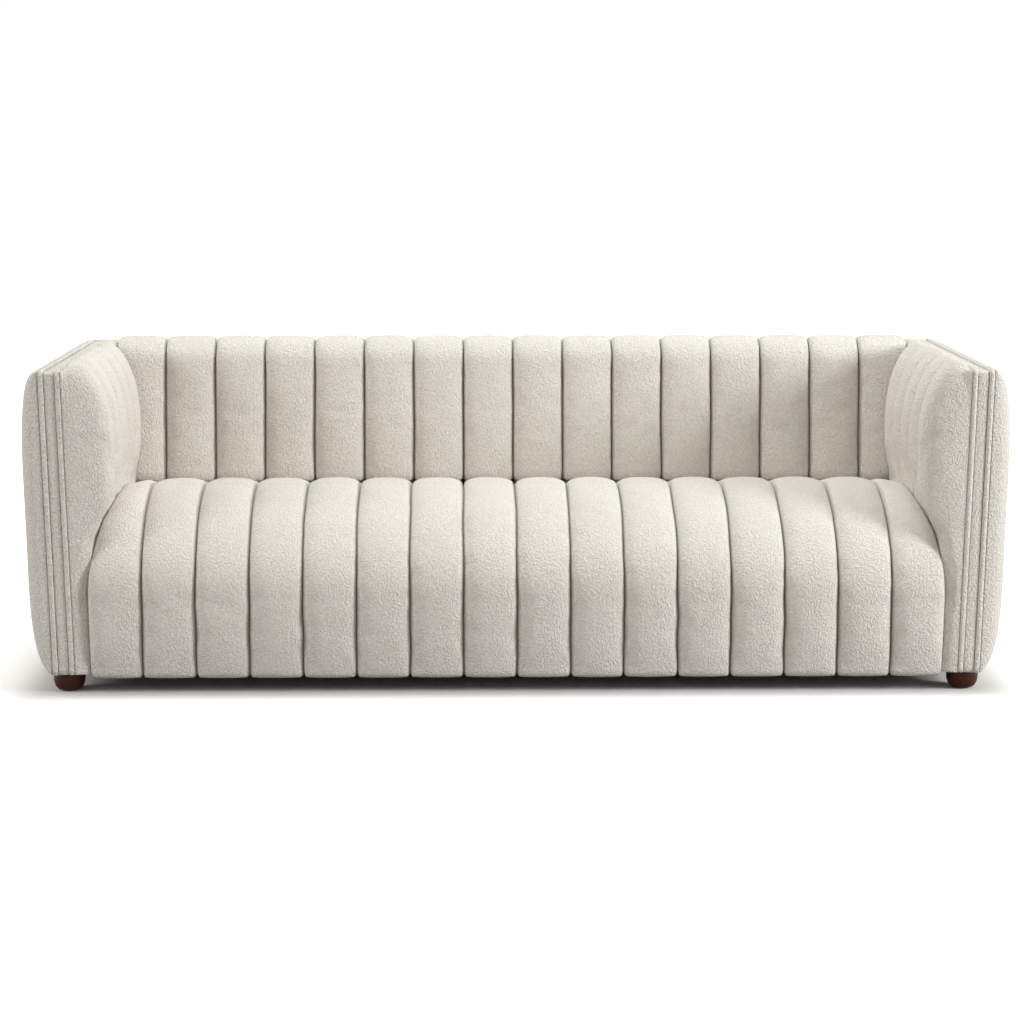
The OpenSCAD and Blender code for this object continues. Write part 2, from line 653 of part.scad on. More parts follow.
/* Feet */
function foot_profile() = concat(
    [[0, glide_t], [foot_base_d / 2, glide_t]],
    [for (a = [15 : 15 : 90]) [mix(foot_base_d, foot_d, sin(a)) / 2, mix(foot_full_z, glide_t, cos(a))]],
    [for (a = [30 : 30 : 90]) [mix(foot_top_d, foot_d, cos(a)) / 2, mix(foot_full_z, foot_h, sin(a))]],
    [[0, foot_h]]);
module foot(side, y) {
    color(foot_colour) translate([side * foot_x, y, 0]) difference() {
        rotate_extrude($fn = 64) polygon(foot_profile());
        translate([0, 0, foot_h - bolt_in_foot - fit_gap])
            cylinder(d = foot_bolt_d + 2 * fit_gap, h = bolt_in_foot + over);
    }
}
module foot_front_left() foot(-1, foot_front_y);
module foot_front_right() foot(1, foot_front_y);
module foot_rear_left() foot(-1, foot_rear_y);
module foot_rear_right() foot(1, foot_rear_y);
module foot_glides() color("black") at_feet() cylinder(d = glide_d, h = glide_t - fit_gap);
module foot_bolts() {
    color(steel_colour) at_feet() translate([0, 0, foot_h - bolt_in_foot])
        cylinder(d = foot_bolt_d, h = bolt_in_foot + bolt_in_frame);
}
module at_plate_screws() {
    for (sx = [-1, 1], sy = [-1, 1])
        translate([sx * (foot_plate_w / 2 - plate_margin), sy * (foot_plate_l / 2 - plate_margin), 0])
            children();
}
module plate_screw(grow) {
    z0 = foot_h + fit_gap;
    translate([0, 0, z0]) cylinder(d = plate_screw_d + 2 * grow, h = plate_screw_l + grow);
    translate([0, 0, z0 - grow]) cylinder(d1 = plate_head_d + 2 * grow, d2 = plate_screw_d + 2 * grow,
                                   h = foot_plate_t * 3 / 4 + grow);
}
// Bores in the side rail for a foot's hanger bolt and its plate's screws
module foot_bores() {
    translate([0, 0, base_z - over])
        cylinder(d = foot_bolt_d + 2 * fit_gap, h = bolt_in_frame + over);
    at_plate_screws() translate([0, 0, foot_h])
        cylinder(d = plate_screw_d + 2 * fit_gap, h = plate_screw_l + 2 * fit_gap);
}
module foot_plates() {
    color(steel_colour) at_feet() difference() {
        translate([-foot_plate_w / 2, -foot_plate_l / 2, foot_h + fit_gap])
            cube([foot_plate_w, foot_plate_l, foot_plate_t - 2 * fit_gap]);
        translate([0, 0, foot_h - over])
            cylinder(d = foot_bolt_d + 2 * fit_gap, h = foot_plate_t + 2 * over);
        at_plate_screws() plate_screw(fit_gap);
    }
}
module foot_plate_screws() color(steel_colour) at_feet() at_plate_screws() plate_screw(0);

/* Back */
face_rows = [0, 0.34, 0.67];
bend_rows = [0, 18, 38, 62, 90];
run_rows = [0.3, 0.65, 1];
// Depth of the inside back's seams at a height
function face_y(z) = seam_y + seat_depth + (z - seat_h) * tan(back_recline);
function back_crest_y() = face_y(back_bend_z) + back_round_d;
function back_surface(up) = concat(
    [for (s = face_rows) let (z = mix(back_hem_z, back_bend_z, s)) [face_y(z) - up * back_face_crown, z]],
    [for (a = bend_rows) let (crown = up * mix(back_face_crown, back_top_crown, a / 90))
        [face_y(back_bend_z) - crown + (back_round_d + crown) * (1 - sup_cos(a, curve_n)),
         back_bend_z + (back_round_h + crown) * sup_sin(a, curve_n)]],
    [for (s = run_rows) let (crown = up * back_top_crown * (1 - s))
        [mix(back_crest_y(), back_rim_y, s), mix(back_seam_z, pad_top_z - edge_t, s * s) + crown]]);
// Line of the back cover's smooth inside, moved in by a gap
function back_line(gap) =
    let (face = cover_t + gap, top_z = frame_top_z + soft_gap - gap, a = back_round_d - face)
    concat([for (s = face_rows) let (z = mix(back_hem_z, back_bend_z, s)) [face_y(z) + face, z]],
           [for (t = bend_rows) [face_y(back_bend_z) + face + a * (1 - sup_cos(t, curve_n)),
                                 mix(back_bend_z, top_z, sup_sin(t, curve_n))]],
           [for (s = run_rows) [mix(back_crest_y(), back_rim_y, s), top_z]]);
module back_channel_cover() {
    pitch = 2 * seat_half / back_channels;
    grid = [for (p = channel_places(back_channels))
        [for (s = back_surface(rise(p - floor(p)))) [-seat_half + p * pitch, s[0], s[1]]]];
    color(fabric_colour) skin(grid, back_line(0), len(channel_shares));
}
module back_foam() {
    color(foam_colour) across(-seat_half, seat_half) intersection() {
        polygon(concat(back_line(soft_gap), [[back_rim_y, back_hem_z]]));
        translate([seam_y, back_hem_z]) square([seat_rear_y - seam_y, overall_h - back_hem_z]);
    }
}
module back_post() {
    color(wood_colour) arm_box(-frame_half, frame_half, frame_front_y, frame_rear_y,
                               seat_rail_z + fit_gap, frame_top_z - arm_rail_h - fit_gap);
}
module left_back_post() on_left() back_post();
module right_back_post() on_left(false) back_post();
module back_mid_posts() {
    y0 = frame_front_y + board_t + fit_gap;
    z0 = base_z + board_t + fit_gap;
    color(wood_colour) for (side = [-1, 1]) translate([side * mid_post_x - board_t / 2, y0, z0])
        cube([board_t, frame_rear_y - y0, frame_top_z - board_t - fit_gap - z0]);
}
module back_sill() {
    y0 = frame_front_y + board_t + fit_gap;
    color(wood_colour) cross_board(y0, frame_rear_y, base_z, base_z + board_t, -frame_half - fit_gap);
}
module back_tack_rail() {
    color(wood_colour) cross_board(frame_front_y, frame_front_y + board_t, tack_rail_z,
                                   tack_rail_z + tack_rail_h, -frame_half - fit_gap);
}
module back_top_rail() {
    color(wood_colour) cross_board(frame_front_y, frame_rear_y, frame_top_z - board_t, frame_top_z,
                                   -frame_half - fit_gap);
}
module back_webbing() {
    reach = seat_half - cover_t;
    low_z = tack_rail_z + fit_gap;
    high_z = frame_top_z - strap_t;
    upright_y = frame_front_y - fit_gap - strap_t;
    color(felt_colour) for (i = [0 : upright_straps - 1])
        translate([mix(-reach, reach - strap_w, i / (upright_straps - 1)), upright_y, low_z])
            cube([strap_w, strap_t, high_z - low_z]);
    color(felt_colour) for (i = [1 : cross_straps])
        translate([-reach, webbing_y, mix(low_z, high_z, i / (cross_straps + 1)) - strap_w / 2])
            cube([2 * reach, strap_t, strap_w]);
}
module outside_back_board() {
    y0 = frame_rear_y + fit_gap;
    color("peru") cross_board(y0, y0 + outer_board_t, base_z + fit_gap, frame_top_z - fit_gap,
                              frame_half - fit_gap);
}

// Outside pads: rows by share of the height, columns by share of the rounding at each end
pad_rows = [0, 0.03, 0.1, 0.22, 0.38, 0.5, 0.66, 0.8, 0.9, 0.96, 1];
pad_turns = [0, 20, 42, 66, 90];
function pad_rise(t) = sqrt(max(0, 1 - pow(abs(2 * t - 1), t < 0.5 ? low_n : high_n)));
function pad_z(t) = mix(arm_hem_z, pad_top_z, t);
// Columns of an outside pad: place along it, and share of its full thickness
function pad_columns(from, to) = concat(
    [for (a = pad_turns) [from + pad_round_d * (1 - sup_cos(a, nose_n)), sup_sin(a, nose_n)]],
    [[(from + to) / 2, 1]],
    [for (a = reversed(pad_turns)) [to - pad_round_d * (1 - sup_cos(a, nose_n)), sup_sin(a, nose_n)]]);
module outside_pad_right() {
    cols = pad_columns(arm_front_y, back_edge_y - soft_gap);
    grid = [for (c = cols) [for (t = pad_rows)
        [arm_x(pad_z(t), seam_half + mix(edge_t, arm_pad_bulge, c[1] * pad_rise(t))), c[0], pad_z(t)]]];
    points = flat(grid);
    rim = [for (i = rim_loop(len(cols), len(pad_rows)))
        [arm_x(points[i][2], seam_half), points[i][1], points[i][2]]];
    color(fabric_colour) pad(grid, rim);
}
module left_outside_arm_pad() on_left() outside_pad_right();
module right_outside_arm_pad() on_left(false) outside_pad_right();
module outside_back_pad() {
    // Places across are shares of the half width, which grows with height
    half = arm_x(base_z, seam_half);
    cols = reversed(pad_columns(-half, half));
    grid = [for (c = cols) [for (t = pad_rows)
        [c[0] / half * (arm_x(pad_z(t), seam_half) - soft_gap),
         back_edge_y + mix(edge_t, back_pad_bulge, c[1] * pad_rise(t)), pad_z(t)]]];
    points = flat(grid);
    rim = [for (i = rim_loop(len(cols), len(pad_rows))) [points[i][0], back_edge_y, points[i][2]]];
    color(fabric_colour) pad(grid, rim);
}

/* Arms */
roll_pitch = (seam_y + seat_depth - back_face_crown - arm_front_y) / arm_rolls;
nose_turns = [0, 20, 42, 66, 90];
skirt_rear_y = front_rail_y - soft_gap;
// Rear limit of the rolls at a height, just ahead of the back's crowns
function roll_end_y(z) = face_y(max(z, back_hem_z)) - back_face_crown - soft_gap;
// Columns of the inside arm: [place of the roll, share along it, rise of the channel, share of thickness]
arm_columns = concat(
    [for (a = nose_turns) [0, arm_nose_d * (1 - sup_cos(a, nose_n)) / roll_pitch, 1, sup_sin(a, nose_n)]],
    [for (s = [0.8, 0.95]) [0, s, rise(s), 1]],
    [for (i = [1 : arm_rolls - 1], s = roll_shares) [i, s, rise(s), 1]],
    [[arm_rolls, 0, 0, 1]]);
section_turns = [0, 20, 38, 55, 72, 90];
swell_shares = [0, 0.2, 0.45, 0.72, 1];
foam_turns = [0, 24, 48, 72];
function column_y(column, z) =
    let (start = arm_front_y + column[0] * roll_pitch)
    column[0] == arm_rolls ? roll_end_y(z)
    : column[0] < arm_rolls - 1 ? start + column[1] * roll_pitch
    : mix(start, roll_end_y(z), column[1]);
// Section of the inside arm at a share of thickness: points of across and height, from the hem up
function arm_section(column, y_low, bottom_z) =
    let (off = arm_seam_d * (1 - column[2]), top_off = arm_top_seam_d * (1 - column[2]),
         low_z = seat_crown_z(y_low) + soft_gap, face = arm_face_x + off, low_x = seat_end(y_low) + end_gap)
    concat(
        [[low_x, bottom_z, 0]],
        [for (s = swell_shares) [mix(low_x, face, smooth(s)), low_z + s * arm_swell_h, 0]],
        [for (a = section_turns) [arm_crest_x - (arm_crest_x - face) * sup_cos(a, 2),
                                  mix(arm_bend_z, arm_crest_z - top_off, sup_sin(a, 2)), a / 90]],
        [[mix(arm_crest_x, arm_x(pad_top_z, -seam_half), 0.55),
          mix(pad_top_z, arm_crest_z - top_off, 0.7), 1.02],
         [arm_x(pad_top_z, -seam_half) - edge_t, pad_top_z, 1.05]]);
function seam_z(p) = p[2] == 0 ? p[1] : mix(arm_bend_z, pad_top_z, p[2] / 1.05);
function arm_point(p, y, share) =
    let (z = mix(seam_z(p), p[1], share), seam_x = arm_x(z, -seam_half) - edge_t)
    [mix(seam_x, p[0], share), y, z];
function arm_column(column, bottom_z) =
    let (y_low = column_y(column, seat_h))
    [for (p = arm_section(column, y_low, bottom_z)) arm_point(p, column_y(column, p[1]), column[3])];
function is_front(column) = column_y(column, seat_h) < skirt_rear_y;
// The column at the front skirt's rear edge, still on the nose's curve or past it
skirt_share = clamp01((skirt_rear_y - arm_front_y) / arm_nose_d);
skirt_column = [0, (skirt_rear_y - arm_front_y) / roll_pitch, 1,
                pow(1 - pow(1 - skirt_share, nose_n), 1 / nose_n)];
// Rear end of the cover: low rows stop ahead of the webbing, high rows lie over the top rail
high_shares = [0, 0.3, 0.65, 1];
function arm_rear(column) =
    let (n = len(column), k = len(high_shares))
    [for (i = [0 : n - 1]) let (p = column[i], h = i - n + k)
        [max(p[0], skirt_x), h > 0 ? back_rim_y : seat_rear_y,
         h < 0 ? min(p[2], frame_top_z) : mix(frame_top_z + soft_gap, pad_top_z, high_shares[h])]];
function arm_grid() =
    let (last = arm_column(arm_columns[len(arm_columns) - 1], tack_rail_z), near_share = 0.8)
    concat(
        [for (c = arm_columns) if (is_front(c)) arm_column(c, arm_hem_z)],
        [arm_column(skirt_column, arm_hem_z)],
        [[for (p = arm_column(skirt_column, tack_rail_z)) p + [0, fit_gap, 0]]],
        [for (c = arm_columns) if (!is_front(c)) arm_column(c, tack_rail_z)],
        [[for (p = last) [max(p[0], skirt_x), p[1] + fit_gap, p[2]]]],
        [[for (p = last) [max(p[0], skirt_x), mix(p[1], seat_rear_y, near_share), p[2]]]],
        [arm_rear(last)]);
function arm_foam_section(gap) =
    let (a = arm_crest_x - arm_face_x - arm_seam_d - cover_t * 3 / 4 - gap,
         b = arm_crest_z - arm_top_seam_d - cover_t - gap - arm_bend_z,
         low_z = seat_h + arm_swell_h / 2 + gap,
         inner = [for (t = foam_turns) [arm_crest_x - a * cos(t), arm_bend_z + b * sin(t)]],
         top_z = inner[3][1])
    concat([[arm_x(low_z, -seam_half), low_z], [arm_crest_x - a, low_z]], inner,
           [[arm_x(top_z, -seam_half), top_z]]);
// The foam lies in the rolls between the nose and the last roll
foam_columns = [for (i = [0 : len(arm_columns) - 1])
    if (!is_front(arm_columns[i]) && arm_columns[i][0] < arm_rolls - 1) arm_columns[i]];
arm_foam_front = column_y(foam_columns[0], seat_h);
arm_foam_rear = column_y(foam_columns[len(foam_columns) - 1], seat_h);
module arm_cover_right() {
    grid = arm_grid();
    cols = len(grid);
    rows = len(grid[0]);
    points = flat(grid);
    rim = [for (i = rim_loop(cols, rows))
        [arm_x(points[i][2], -seam_half), points[i][1], points[i][2]]];
    pocket = [for (c = foam_columns) let (y = column_y(c, seat_h))
        [for (p = arm_foam_section(0)) [p[0], y, p[1]]]];
    first = len([for (c = arm_columns) if (is_front(c)) c]) + 2;
    color(fabric_colour) pad(grid, rim, pocket, first, turned = true);
}
module left_arm_channel_cover() on_left() arm_cover_right();
module right_arm_channel_cover() on_left(false) arm_cover_right();
module arm_foam_right() {
    y0 = arm_foam_front + soft_gap;
    y1 = arm_foam_rear - soft_gap;
    color(foam_colour) translate([0, y1, 0]) rotate([90, 0, 0]) linear_extrude(y1 - y0)
        polygon(arm_foam_section(soft_gap));
}
module left_arm_foam() on_left() arm_foam_right();
module right_arm_foam() on_left(false) arm_foam_right();
module arm_front_post() {
    color(wood_colour) arm_box(-frame_half, frame_half, post_front_y, post_rear_y,
                               seat_rail_z + fit_gap, frame_top_z - arm_rail_h - fit_gap);
}
module left_arm_front_post() on_left() arm_front_post();
module right_arm_front_post() on_left(false) arm_front_post();
module arm_top_rail() {
    color(wood_colour) arm_box(-frame_half, frame_half, post_front_y, frame_rear_y,
                               frame_top_z - arm_rail_h, frame_top_z);
}
module left_arm_top_rail() on_left() arm_top_rail();
module right_arm_top_rail() on_left(false) arm_top_rail();
module arm_tack_rail() {
    color(wood_colour) arm_box(-frame_half, -frame_half + board_t, post_rear_y + fit_gap,
                               frame_front_y - fit_gap, tack_rail_z, tack_rail_z + tack_rail_h);
}
module left_arm_tack_rail() on_left() arm_tack_rail();
module right_arm_tack_rail() on_left(false) arm_tack_rail();
module arm_panel() {
    color("peru") arm_box(-frame_half - fit_gap - panel_t, -frame_half - fit_gap, post_front_y,
                          frame_front_y - fit_gap, tack_rail_z, frame_top_z - fit_gap);
}
module left_arm_panel() on_left() arm_panel();
module right_arm_panel() on_left(false) arm_panel();
module outside_arm_board() {
    color("peru") arm_box(frame_half + fit_gap, frame_half + fit_gap + outer_board_t, post_front_y,
                          frame_rear_y, base_z, frame_top_z - fit_gap);
}
module left_outside_arm_board() on_left() outside_arm_board();
module right_outside_arm_board() on_left(false) outside_arm_board();

/* Trim */
// The arm's trim turns over the frame's top front edge, drawn in depth and height along the arm
hem_w = arm_w_at(arm_hem_z);
top_w = arm_w_at(frame_top_z);
module arm_band() {
    y1 = back_mid_y + band_w / 2;
    color(fabric_colour) in_arm_frame() translate([-band_w / 2, 0, 0]) rotate([90, 0, 90])
        linear_extrude(band_w) difference() {
            union() {
                translate([arm_front_y, hem_w]) square([y1 - arm_front_y, top_w - hem_w]);
                translate([post_front_y - fit_gap, hem_w])
                    square([y1 - post_front_y + fit_gap, top_w + band_t + fit_gap - hem_w]);
                translate([post_front_y - fit_gap, top_w + fit_gap]) circle(r = band_t, $fn = 48);
            }
            translate([post_front_y - fit_gap, hem_w - over])
                square([y1 - post_front_y + over, top_w + fit_gap - hem_w + over]);
        }
}
module left_arm_band() on_left() arm_band();
module right_arm_band() on_left(false) arm_band();
module arm_welt(u, y1) {
    bend = welt_d / 2 + fit_gap;
    mid_y = post_front_y - bend;
    color(fabric_colour) in_arm_frame() translate([u, 0, 0]) {
        translate([0, mid_y, hem_w]) cylinder(d = welt_d, h = top_w - hem_w);
        translate([0, post_front_y, top_w + bend]) rotate([-90, 0, 0])
            cylinder(d = welt_d, h = y1 - post_front_y);
        translate([0, post_front_y, top_w]) rotate([90, 0, -90])
            rotate_extrude(angle = 90) translate([bend, 0]) circle(d = welt_d);
    }
}
welt_end_gap = soft_gap;
module arm_inner_welt() arm_welt(-welt_u, back_mid_y - welt_u - welt_d / 2 - welt_end_gap);
module arm_outer_welt() arm_welt(welt_u, back_mid_y + welt_u - welt_d / 2 - welt_end_gap);
module left_arm_inner_welt() on_left() arm_inner_welt();
module right_arm_inner_welt() on_left(false) arm_inner_welt();
module left_arm_outer_welt() on_left() arm_outer_welt();
module right_arm_outer_welt() on_left(false) arm_outer_welt();
module back_band() {
    z0 = frame_top_z + fit_gap;
    color(fabric_colour) cross_board(back_mid_y - band_w / 2, back_mid_y + band_w / 2, z0, z0 + band_t,
                                     -band_w / 2 - welt_end_gap);
}
module back_welt(y, u) {
    z = frame_top_z + fit_gap + welt_d / 2;
    reach = arm_x(z, u) - welt_end_gap;
    color(fabric_colour) translate([-reach, y, z]) rotate([0, 90, 0])
        cylinder(d = welt_d, h = 2 * reach);
}
module back_inner_welt() back_welt(back_mid_y - welt_u, -band_w / 2 - welt_end_gap);
module back_outer_welt() back_welt(back_mid_y + welt_u, welt_u + welt_d / 2);

foot_front_left();
foot_front_right();
foot_rear_left();
foot_rear_right();
foot_glides();
foot_bolts();
foot_plates();
foot_plate_screws();
front_rail();
rear_rail();
left_side_rail();
right_side_rail();
seat_stretchers();
corner_blocks();
corner_block_screws();
spring_clips_front();
spring_clips_rear();
seat_springs();
tie_wires();
spring_felt();
seat_foam();
front_roll_foam();
seat_channel_cover();
dust_cover();
left_back_post();
right_back_post();
back_mid_posts();
back_sill();
back_tack_rail();
back_top_rail();
back_webbing();
back_foam();
back_channel_cover();
outside_back_board();
outside_back_pad();
back_band();
back_inner_welt();
back_outer_welt();
left_arm_front_post();
left_arm_top_rail();
left_arm_tack_rail();
left_arm_panel();
left_arm_foam();
left_arm_channel_cover();
left_outside_arm_board();
left_outside_arm_pad();
left_arm_band();
left_arm_inner_welt();
left_arm_outer_welt();
right_arm_front_post();
right_arm_top_rail();
right_arm_tack_rail();
right_arm_panel();
right_arm_foam();
right_arm_channel_cover();
right_outside_arm_board();
right_outside_arm_pad();
right_arm_band();
right_arm_inner_welt();
right_arm_outer_welt();
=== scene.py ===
"""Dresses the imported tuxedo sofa: channelled boucle covers, pads, piping, feet and inner pieces."""
from __future__ import annotations

import logging
import math
from collections.abc import Callable, Mapping, Sequence
from dataclasses import dataclass, field
from enum import Enum

import bmesh
import bpy
import numpy as np
from bmesh.types import BMEdge, BMesh, BMVert
from bpy.types import Material, Node, NodeSocket, NodeTree, Object
from mathutils import Matrix, Vector

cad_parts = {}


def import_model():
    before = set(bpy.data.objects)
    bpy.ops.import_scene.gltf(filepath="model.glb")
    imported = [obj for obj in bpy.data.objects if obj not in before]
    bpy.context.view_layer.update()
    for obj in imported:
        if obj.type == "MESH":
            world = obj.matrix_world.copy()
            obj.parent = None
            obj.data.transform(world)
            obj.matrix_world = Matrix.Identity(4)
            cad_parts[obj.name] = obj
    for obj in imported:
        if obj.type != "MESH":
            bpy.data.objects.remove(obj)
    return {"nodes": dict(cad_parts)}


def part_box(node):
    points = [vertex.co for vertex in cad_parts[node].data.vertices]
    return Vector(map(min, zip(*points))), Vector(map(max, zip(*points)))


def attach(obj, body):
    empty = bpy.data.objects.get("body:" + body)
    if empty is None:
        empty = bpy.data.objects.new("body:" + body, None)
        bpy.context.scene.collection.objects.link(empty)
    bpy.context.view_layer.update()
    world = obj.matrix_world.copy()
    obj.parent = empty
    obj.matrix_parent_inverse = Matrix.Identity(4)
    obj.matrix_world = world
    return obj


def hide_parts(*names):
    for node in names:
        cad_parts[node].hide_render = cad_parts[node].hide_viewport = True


LOG = logging.getLogger("sofa")
MM = 0.001
Array = np.ndarray
Num = float | Array
Spot = tuple[float, float, float]
WAVES = 6
WAVE_SPREAD = 0.7, 1.6
CHANNEL_N = 2.4


def mix(a: Num, b: Num, s: Num) -> Num:
    """Goes from a to b as s goes from 0 to 1."""
    return a + (b - a) * s


def hold(s: Num) -> Num:
    """Keeps a share between 0 and 1."""
    return np.clip(s, 0.0, 1.0)


def smooth(s: Num) -> Num:
    """Eases s from 0 to 1, and holds it there outside that range."""
    s = hold(s)
    return s * s * (3.0 - 2.0 * s)


def arc(s: Num, n: float) -> Num:
    """Height of a superellipse's quarter at a share of its width."""
    return (1.0 - (1.0 - s) ** n) ** (1.0 / n)


def round_out(turn: Num, n: float) -> Num:
    """Share still to go along the first axis of a superellipse, at a turn from 0 to 1."""
    return np.maximum(0.0, np.cos(np.radians(90.0 * np.asarray(turn)))) ** (2.0 / n)


def round_up(turn: Num, n: float) -> Num:
    """Share gone along the second axis of a superellipse, at a turn from 0 to 1."""
    return np.maximum(0.0, np.sin(np.radians(90.0 * np.asarray(turn)))) ** (2.0 / n)


def pillow(t: Num, n: Num) -> Num:
    """Section of a filled pad, from 0 at its edges to 1 in its middle; flatter with a greater n."""
    return np.sqrt(np.maximum(0.0, 1.0 - np.abs(2.0 * np.asarray(t) - 1.0) ** n))


def plump(t: Num) -> Num:
    """Section of a filled channel."""
    return pillow(t, CHANNEL_N)


def waver(x: Array, y: Array, size: float, seed: int) -> Array:
    """Slow uneven waves over a surface, about -1 to 1, the same on each run.

    Args:
        x: places along the first direction, in metres.
        y: places along the second direction, in metres.
        size: length of the waves, in metres.
        seed: chooses one set of waves.
    """
    rng = np.random.RandomState(seed)
    total = np.zeros(np.broadcast(x, y).shape)
    for _ in range(WAVES):
        angle, phase = rng.uniform(0.0, math.pi), rng.uniform(0.0, math.tau)
        k = math.tau / (size * rng.uniform(*WAVE_SPREAD))
        total += np.sin(k * (x * math.cos(angle) + y * math.sin(angle)) + phase)
    return 2.0 * total / WAVES


@dataclass
class Plan:
    """Sizes that several pieces share, in metres and degrees, as the frame was built."""

    width: float = 2.150
    depth: float = 0.890
    height: float = 0.730
    seat_h: float = 0.431
    seat_front_crown: float = 0.018
    seat_top_crown: float = 0.012
    seat_roll_d: float = 0.352
    seat_full_z: float = 0.216
    seat_hem_z: float = 0.036
    seat_tuck: float = 0.012
    seat_pitch: float = 10.0
    seat_pitch_y: float = 0.287
    pitch_ease_d: float = 0.160
    seat_squeeze: float = 0.050
    seat_squeeze_d: float = 0.330
    seat_front_in: float = 0.008
    seat_build_h: float = 0.141
    front_fill_d: float = 0.024
    cover_t: float = 0.026
    channels: int = 16
    back_t: float = 0.232
    back_lean: float = 5.75
    back_face_crown: float = 0.020
    back_top_crown: float = 0.008
    back_round_d: float = 0.060
    back_round_h: float = 0.050
    back_pad_bulge: float = 0.030
    arm_w: float = 0.195
    arm_splay: float = 1.65
    arm_rolls: int = 5
    arm_seam_d: float = 0.027
    arm_top_seam_d: float = 0.011
    arm_drop: float = 0.003
    arm_round_w: float = 0.085
    arm_flat_h: float = 0.106
    arm_nose_d: float = 0.060
    arm_skirt_t: float = 0.022
    arm_swell_h: float = 0.100
    arm_hem_z: float = 0.045
    arm_pad_bulge: float = 0.050
    arm_full_share: float = 0.575
    band_w: float = 0.024
    band_t: float = 0.008
    band_drop: float = 0.022
    welt_d: float = 0.012
    pad_on_welt: float = 0.75
    foot_h: float = 0.045
    foot_plate_t: float = 0.003
    arm_frame_t: float = 0.042
    back_frame_d: float = 0.080
    tack_rail_drop: float = 0.091
    strap_t: float = 0.0016
    fit_gap: float = 0.0001
    soft_gap: float = 0.0003
    edge_t: float = 0.003
    curve_n: float = 2.1
    nose_n: float = 2.5

    def __post_init__(self) -> None:
        """Works out the places that follow from the sizes."""
        p = self
        p.splay = math.radians(p.arm_splay)
        p.base_z = p.foot_h + p.foot_plate_t
        p.tack_rail_z = p.seat_h - p.tack_rail_drop
        p.frame_top_z = p.height - p.band_drop - p.band_t
        p.pad_top_z = p.frame_top_z + p.welt_d * p.pad_on_welt
        p.seat_seam_z = p.seat_h - p.seat_top_crown
        p.back_seam_z = p.height - p.back_top_crown
        p.back_bend_z = p.back_seam_z - p.back_round_h
        p.arm_crest_z = p.height - p.arm_drop
        p.arm_bend_z = p.seat_h + p.arm_flat_h
        p.welt_r = p.welt_d / 2
        p.welt_u = p.band_w / 2 + p.fit_gap + p.welt_r
        p.seam_half = p.welt_u + p.welt_r + p.soft_gap
        p.front_y = -p.depth / 2
        p.seam_y = p.front_y + p.seat_front_crown
        p.post_front_y = p.seam_y + p.band_t + p.fit_gap
        off = p.cover_t + 2 * p.soft_gap
        rise = (p.seat_h - p.seat_build_h - p.seat_full_z) / (p.seat_seam_z - p.seat_full_z - off)
        curved = 1.0 - float(arc(1.0 - hold(rise), p.curve_n))
        p.front_rail_y = p.seam_y + max(p.cover_t + p.soft_gap + p.front_fill_d,
                                        off + (p.seat_roll_d - off) * curved)
        p.back_edge_y = p.depth / 2 - p.back_pad_bulge
        p.seat_depth = p.back_edge_y - p.back_t - p.seam_y
        p.seat_low_y = p.seam_y + p.seat_depth - p.back_face_crown
        p.back_hem_z = p.seat_h - float(p.seat_fall(p.seat_low_y)) + p.soft_gap
        p.back_mid_y = p.back_edge_y - p.seam_half
        p.back_rim_y = p.back_mid_y - p.seam_half
        p.frame_rear_y = p.back_mid_y + p.arm_frame_t / 2
        p.frame_front_y = p.frame_rear_y - p.back_frame_d
        p.webbing_y = p.frame_front_y - 2 * p.fit_gap - 2 * p.strap_t
        p.seat_rear_y = p.webbing_y - p.soft_gap
        full_z = mix(p.arm_hem_z, p.pad_top_z, p.arm_full_share)
        p.arm_base_x = (p.width / 2 - p.arm_pad_bulge - p.seam_half
                        - (full_z - p.base_z) * math.tan(p.splay))
        p.arm_face_x = p.width / 2 - p.arm_w
        p.arm_crest_x = p.arm_face_x + p.arm_round_w
        p.seat_half = p.arm_x(p.base_z, -p.seam_half) - p.arm_skirt_t

    def arm_x(self, z: Num, u: Num) -> Num:
        """Distance from the sofa's middle of a place u outward of the leaning arm's middle."""
        return (self.arm_base_x + (z - self.base_z) * math.tan(self.splay)
                + u / math.cos(self.splay))

    def face_y(self, z: Num) -> Num:
        """Depth of the inside back's seams at a height."""
        lean = math.tan(math.radians(self.back_lean))
        return self.seam_y + self.seat_depth + (z - self.seat_h) * lean

    def seat_fall(self, y: Num) -> Num:
        """How far the seat has dropped behind its crest at a depth."""
        t = np.maximum(0.0, np.minimum(y, self.seat_low_y) - self.seam_y - self.seat_pitch_y)
        ease = self.pitch_ease_d
        eased = np.where(t < ease, t * t / (2 * ease), t - ease / 2)
        return math.tan(math.radians(self.seat_pitch)) * eased

    def seat_end(self, y: Num) -> Num:
        """Half width of the seat at a depth, squeezed in between the arms."""
        share = hold((y - self.seam_y) / self.seat_squeeze_d)
        return self.seat_half - mix(self.seat_front_in, self.seat_squeeze,
                                    np.sin(math.pi / 2 * share))

    def seat_crown_z(self, y: Num) -> Num:
        """Height of the seat's crowns at a depth."""
        share = hold((y - self.front_y) / (self.seat_roll_d + self.seat_front_crown))
        return mix(self.seat_full_z, self.seat_h, arc(share, self.curve_n)) - self.seat_fall(y)


# The plan that every piece follows.
P = Plan()


# Materials


Value = float | tuple | NodeSocket
Look = tuple[NodeSocket, NodeSocket, NodeSocket]
Sockets = Mapping[str, NodeSocket]
OUTPUTS = {"Color": "NodeSocketColor", "Height": "NodeSocketFloat", "Roughness": "NodeSocketFloat"}


def plain(value: float | tuple) -> float | tuple:
    """A socket's value, with a colour's fourth number."""
    return (*value, 1.0) if isinstance(value, tuple) else value


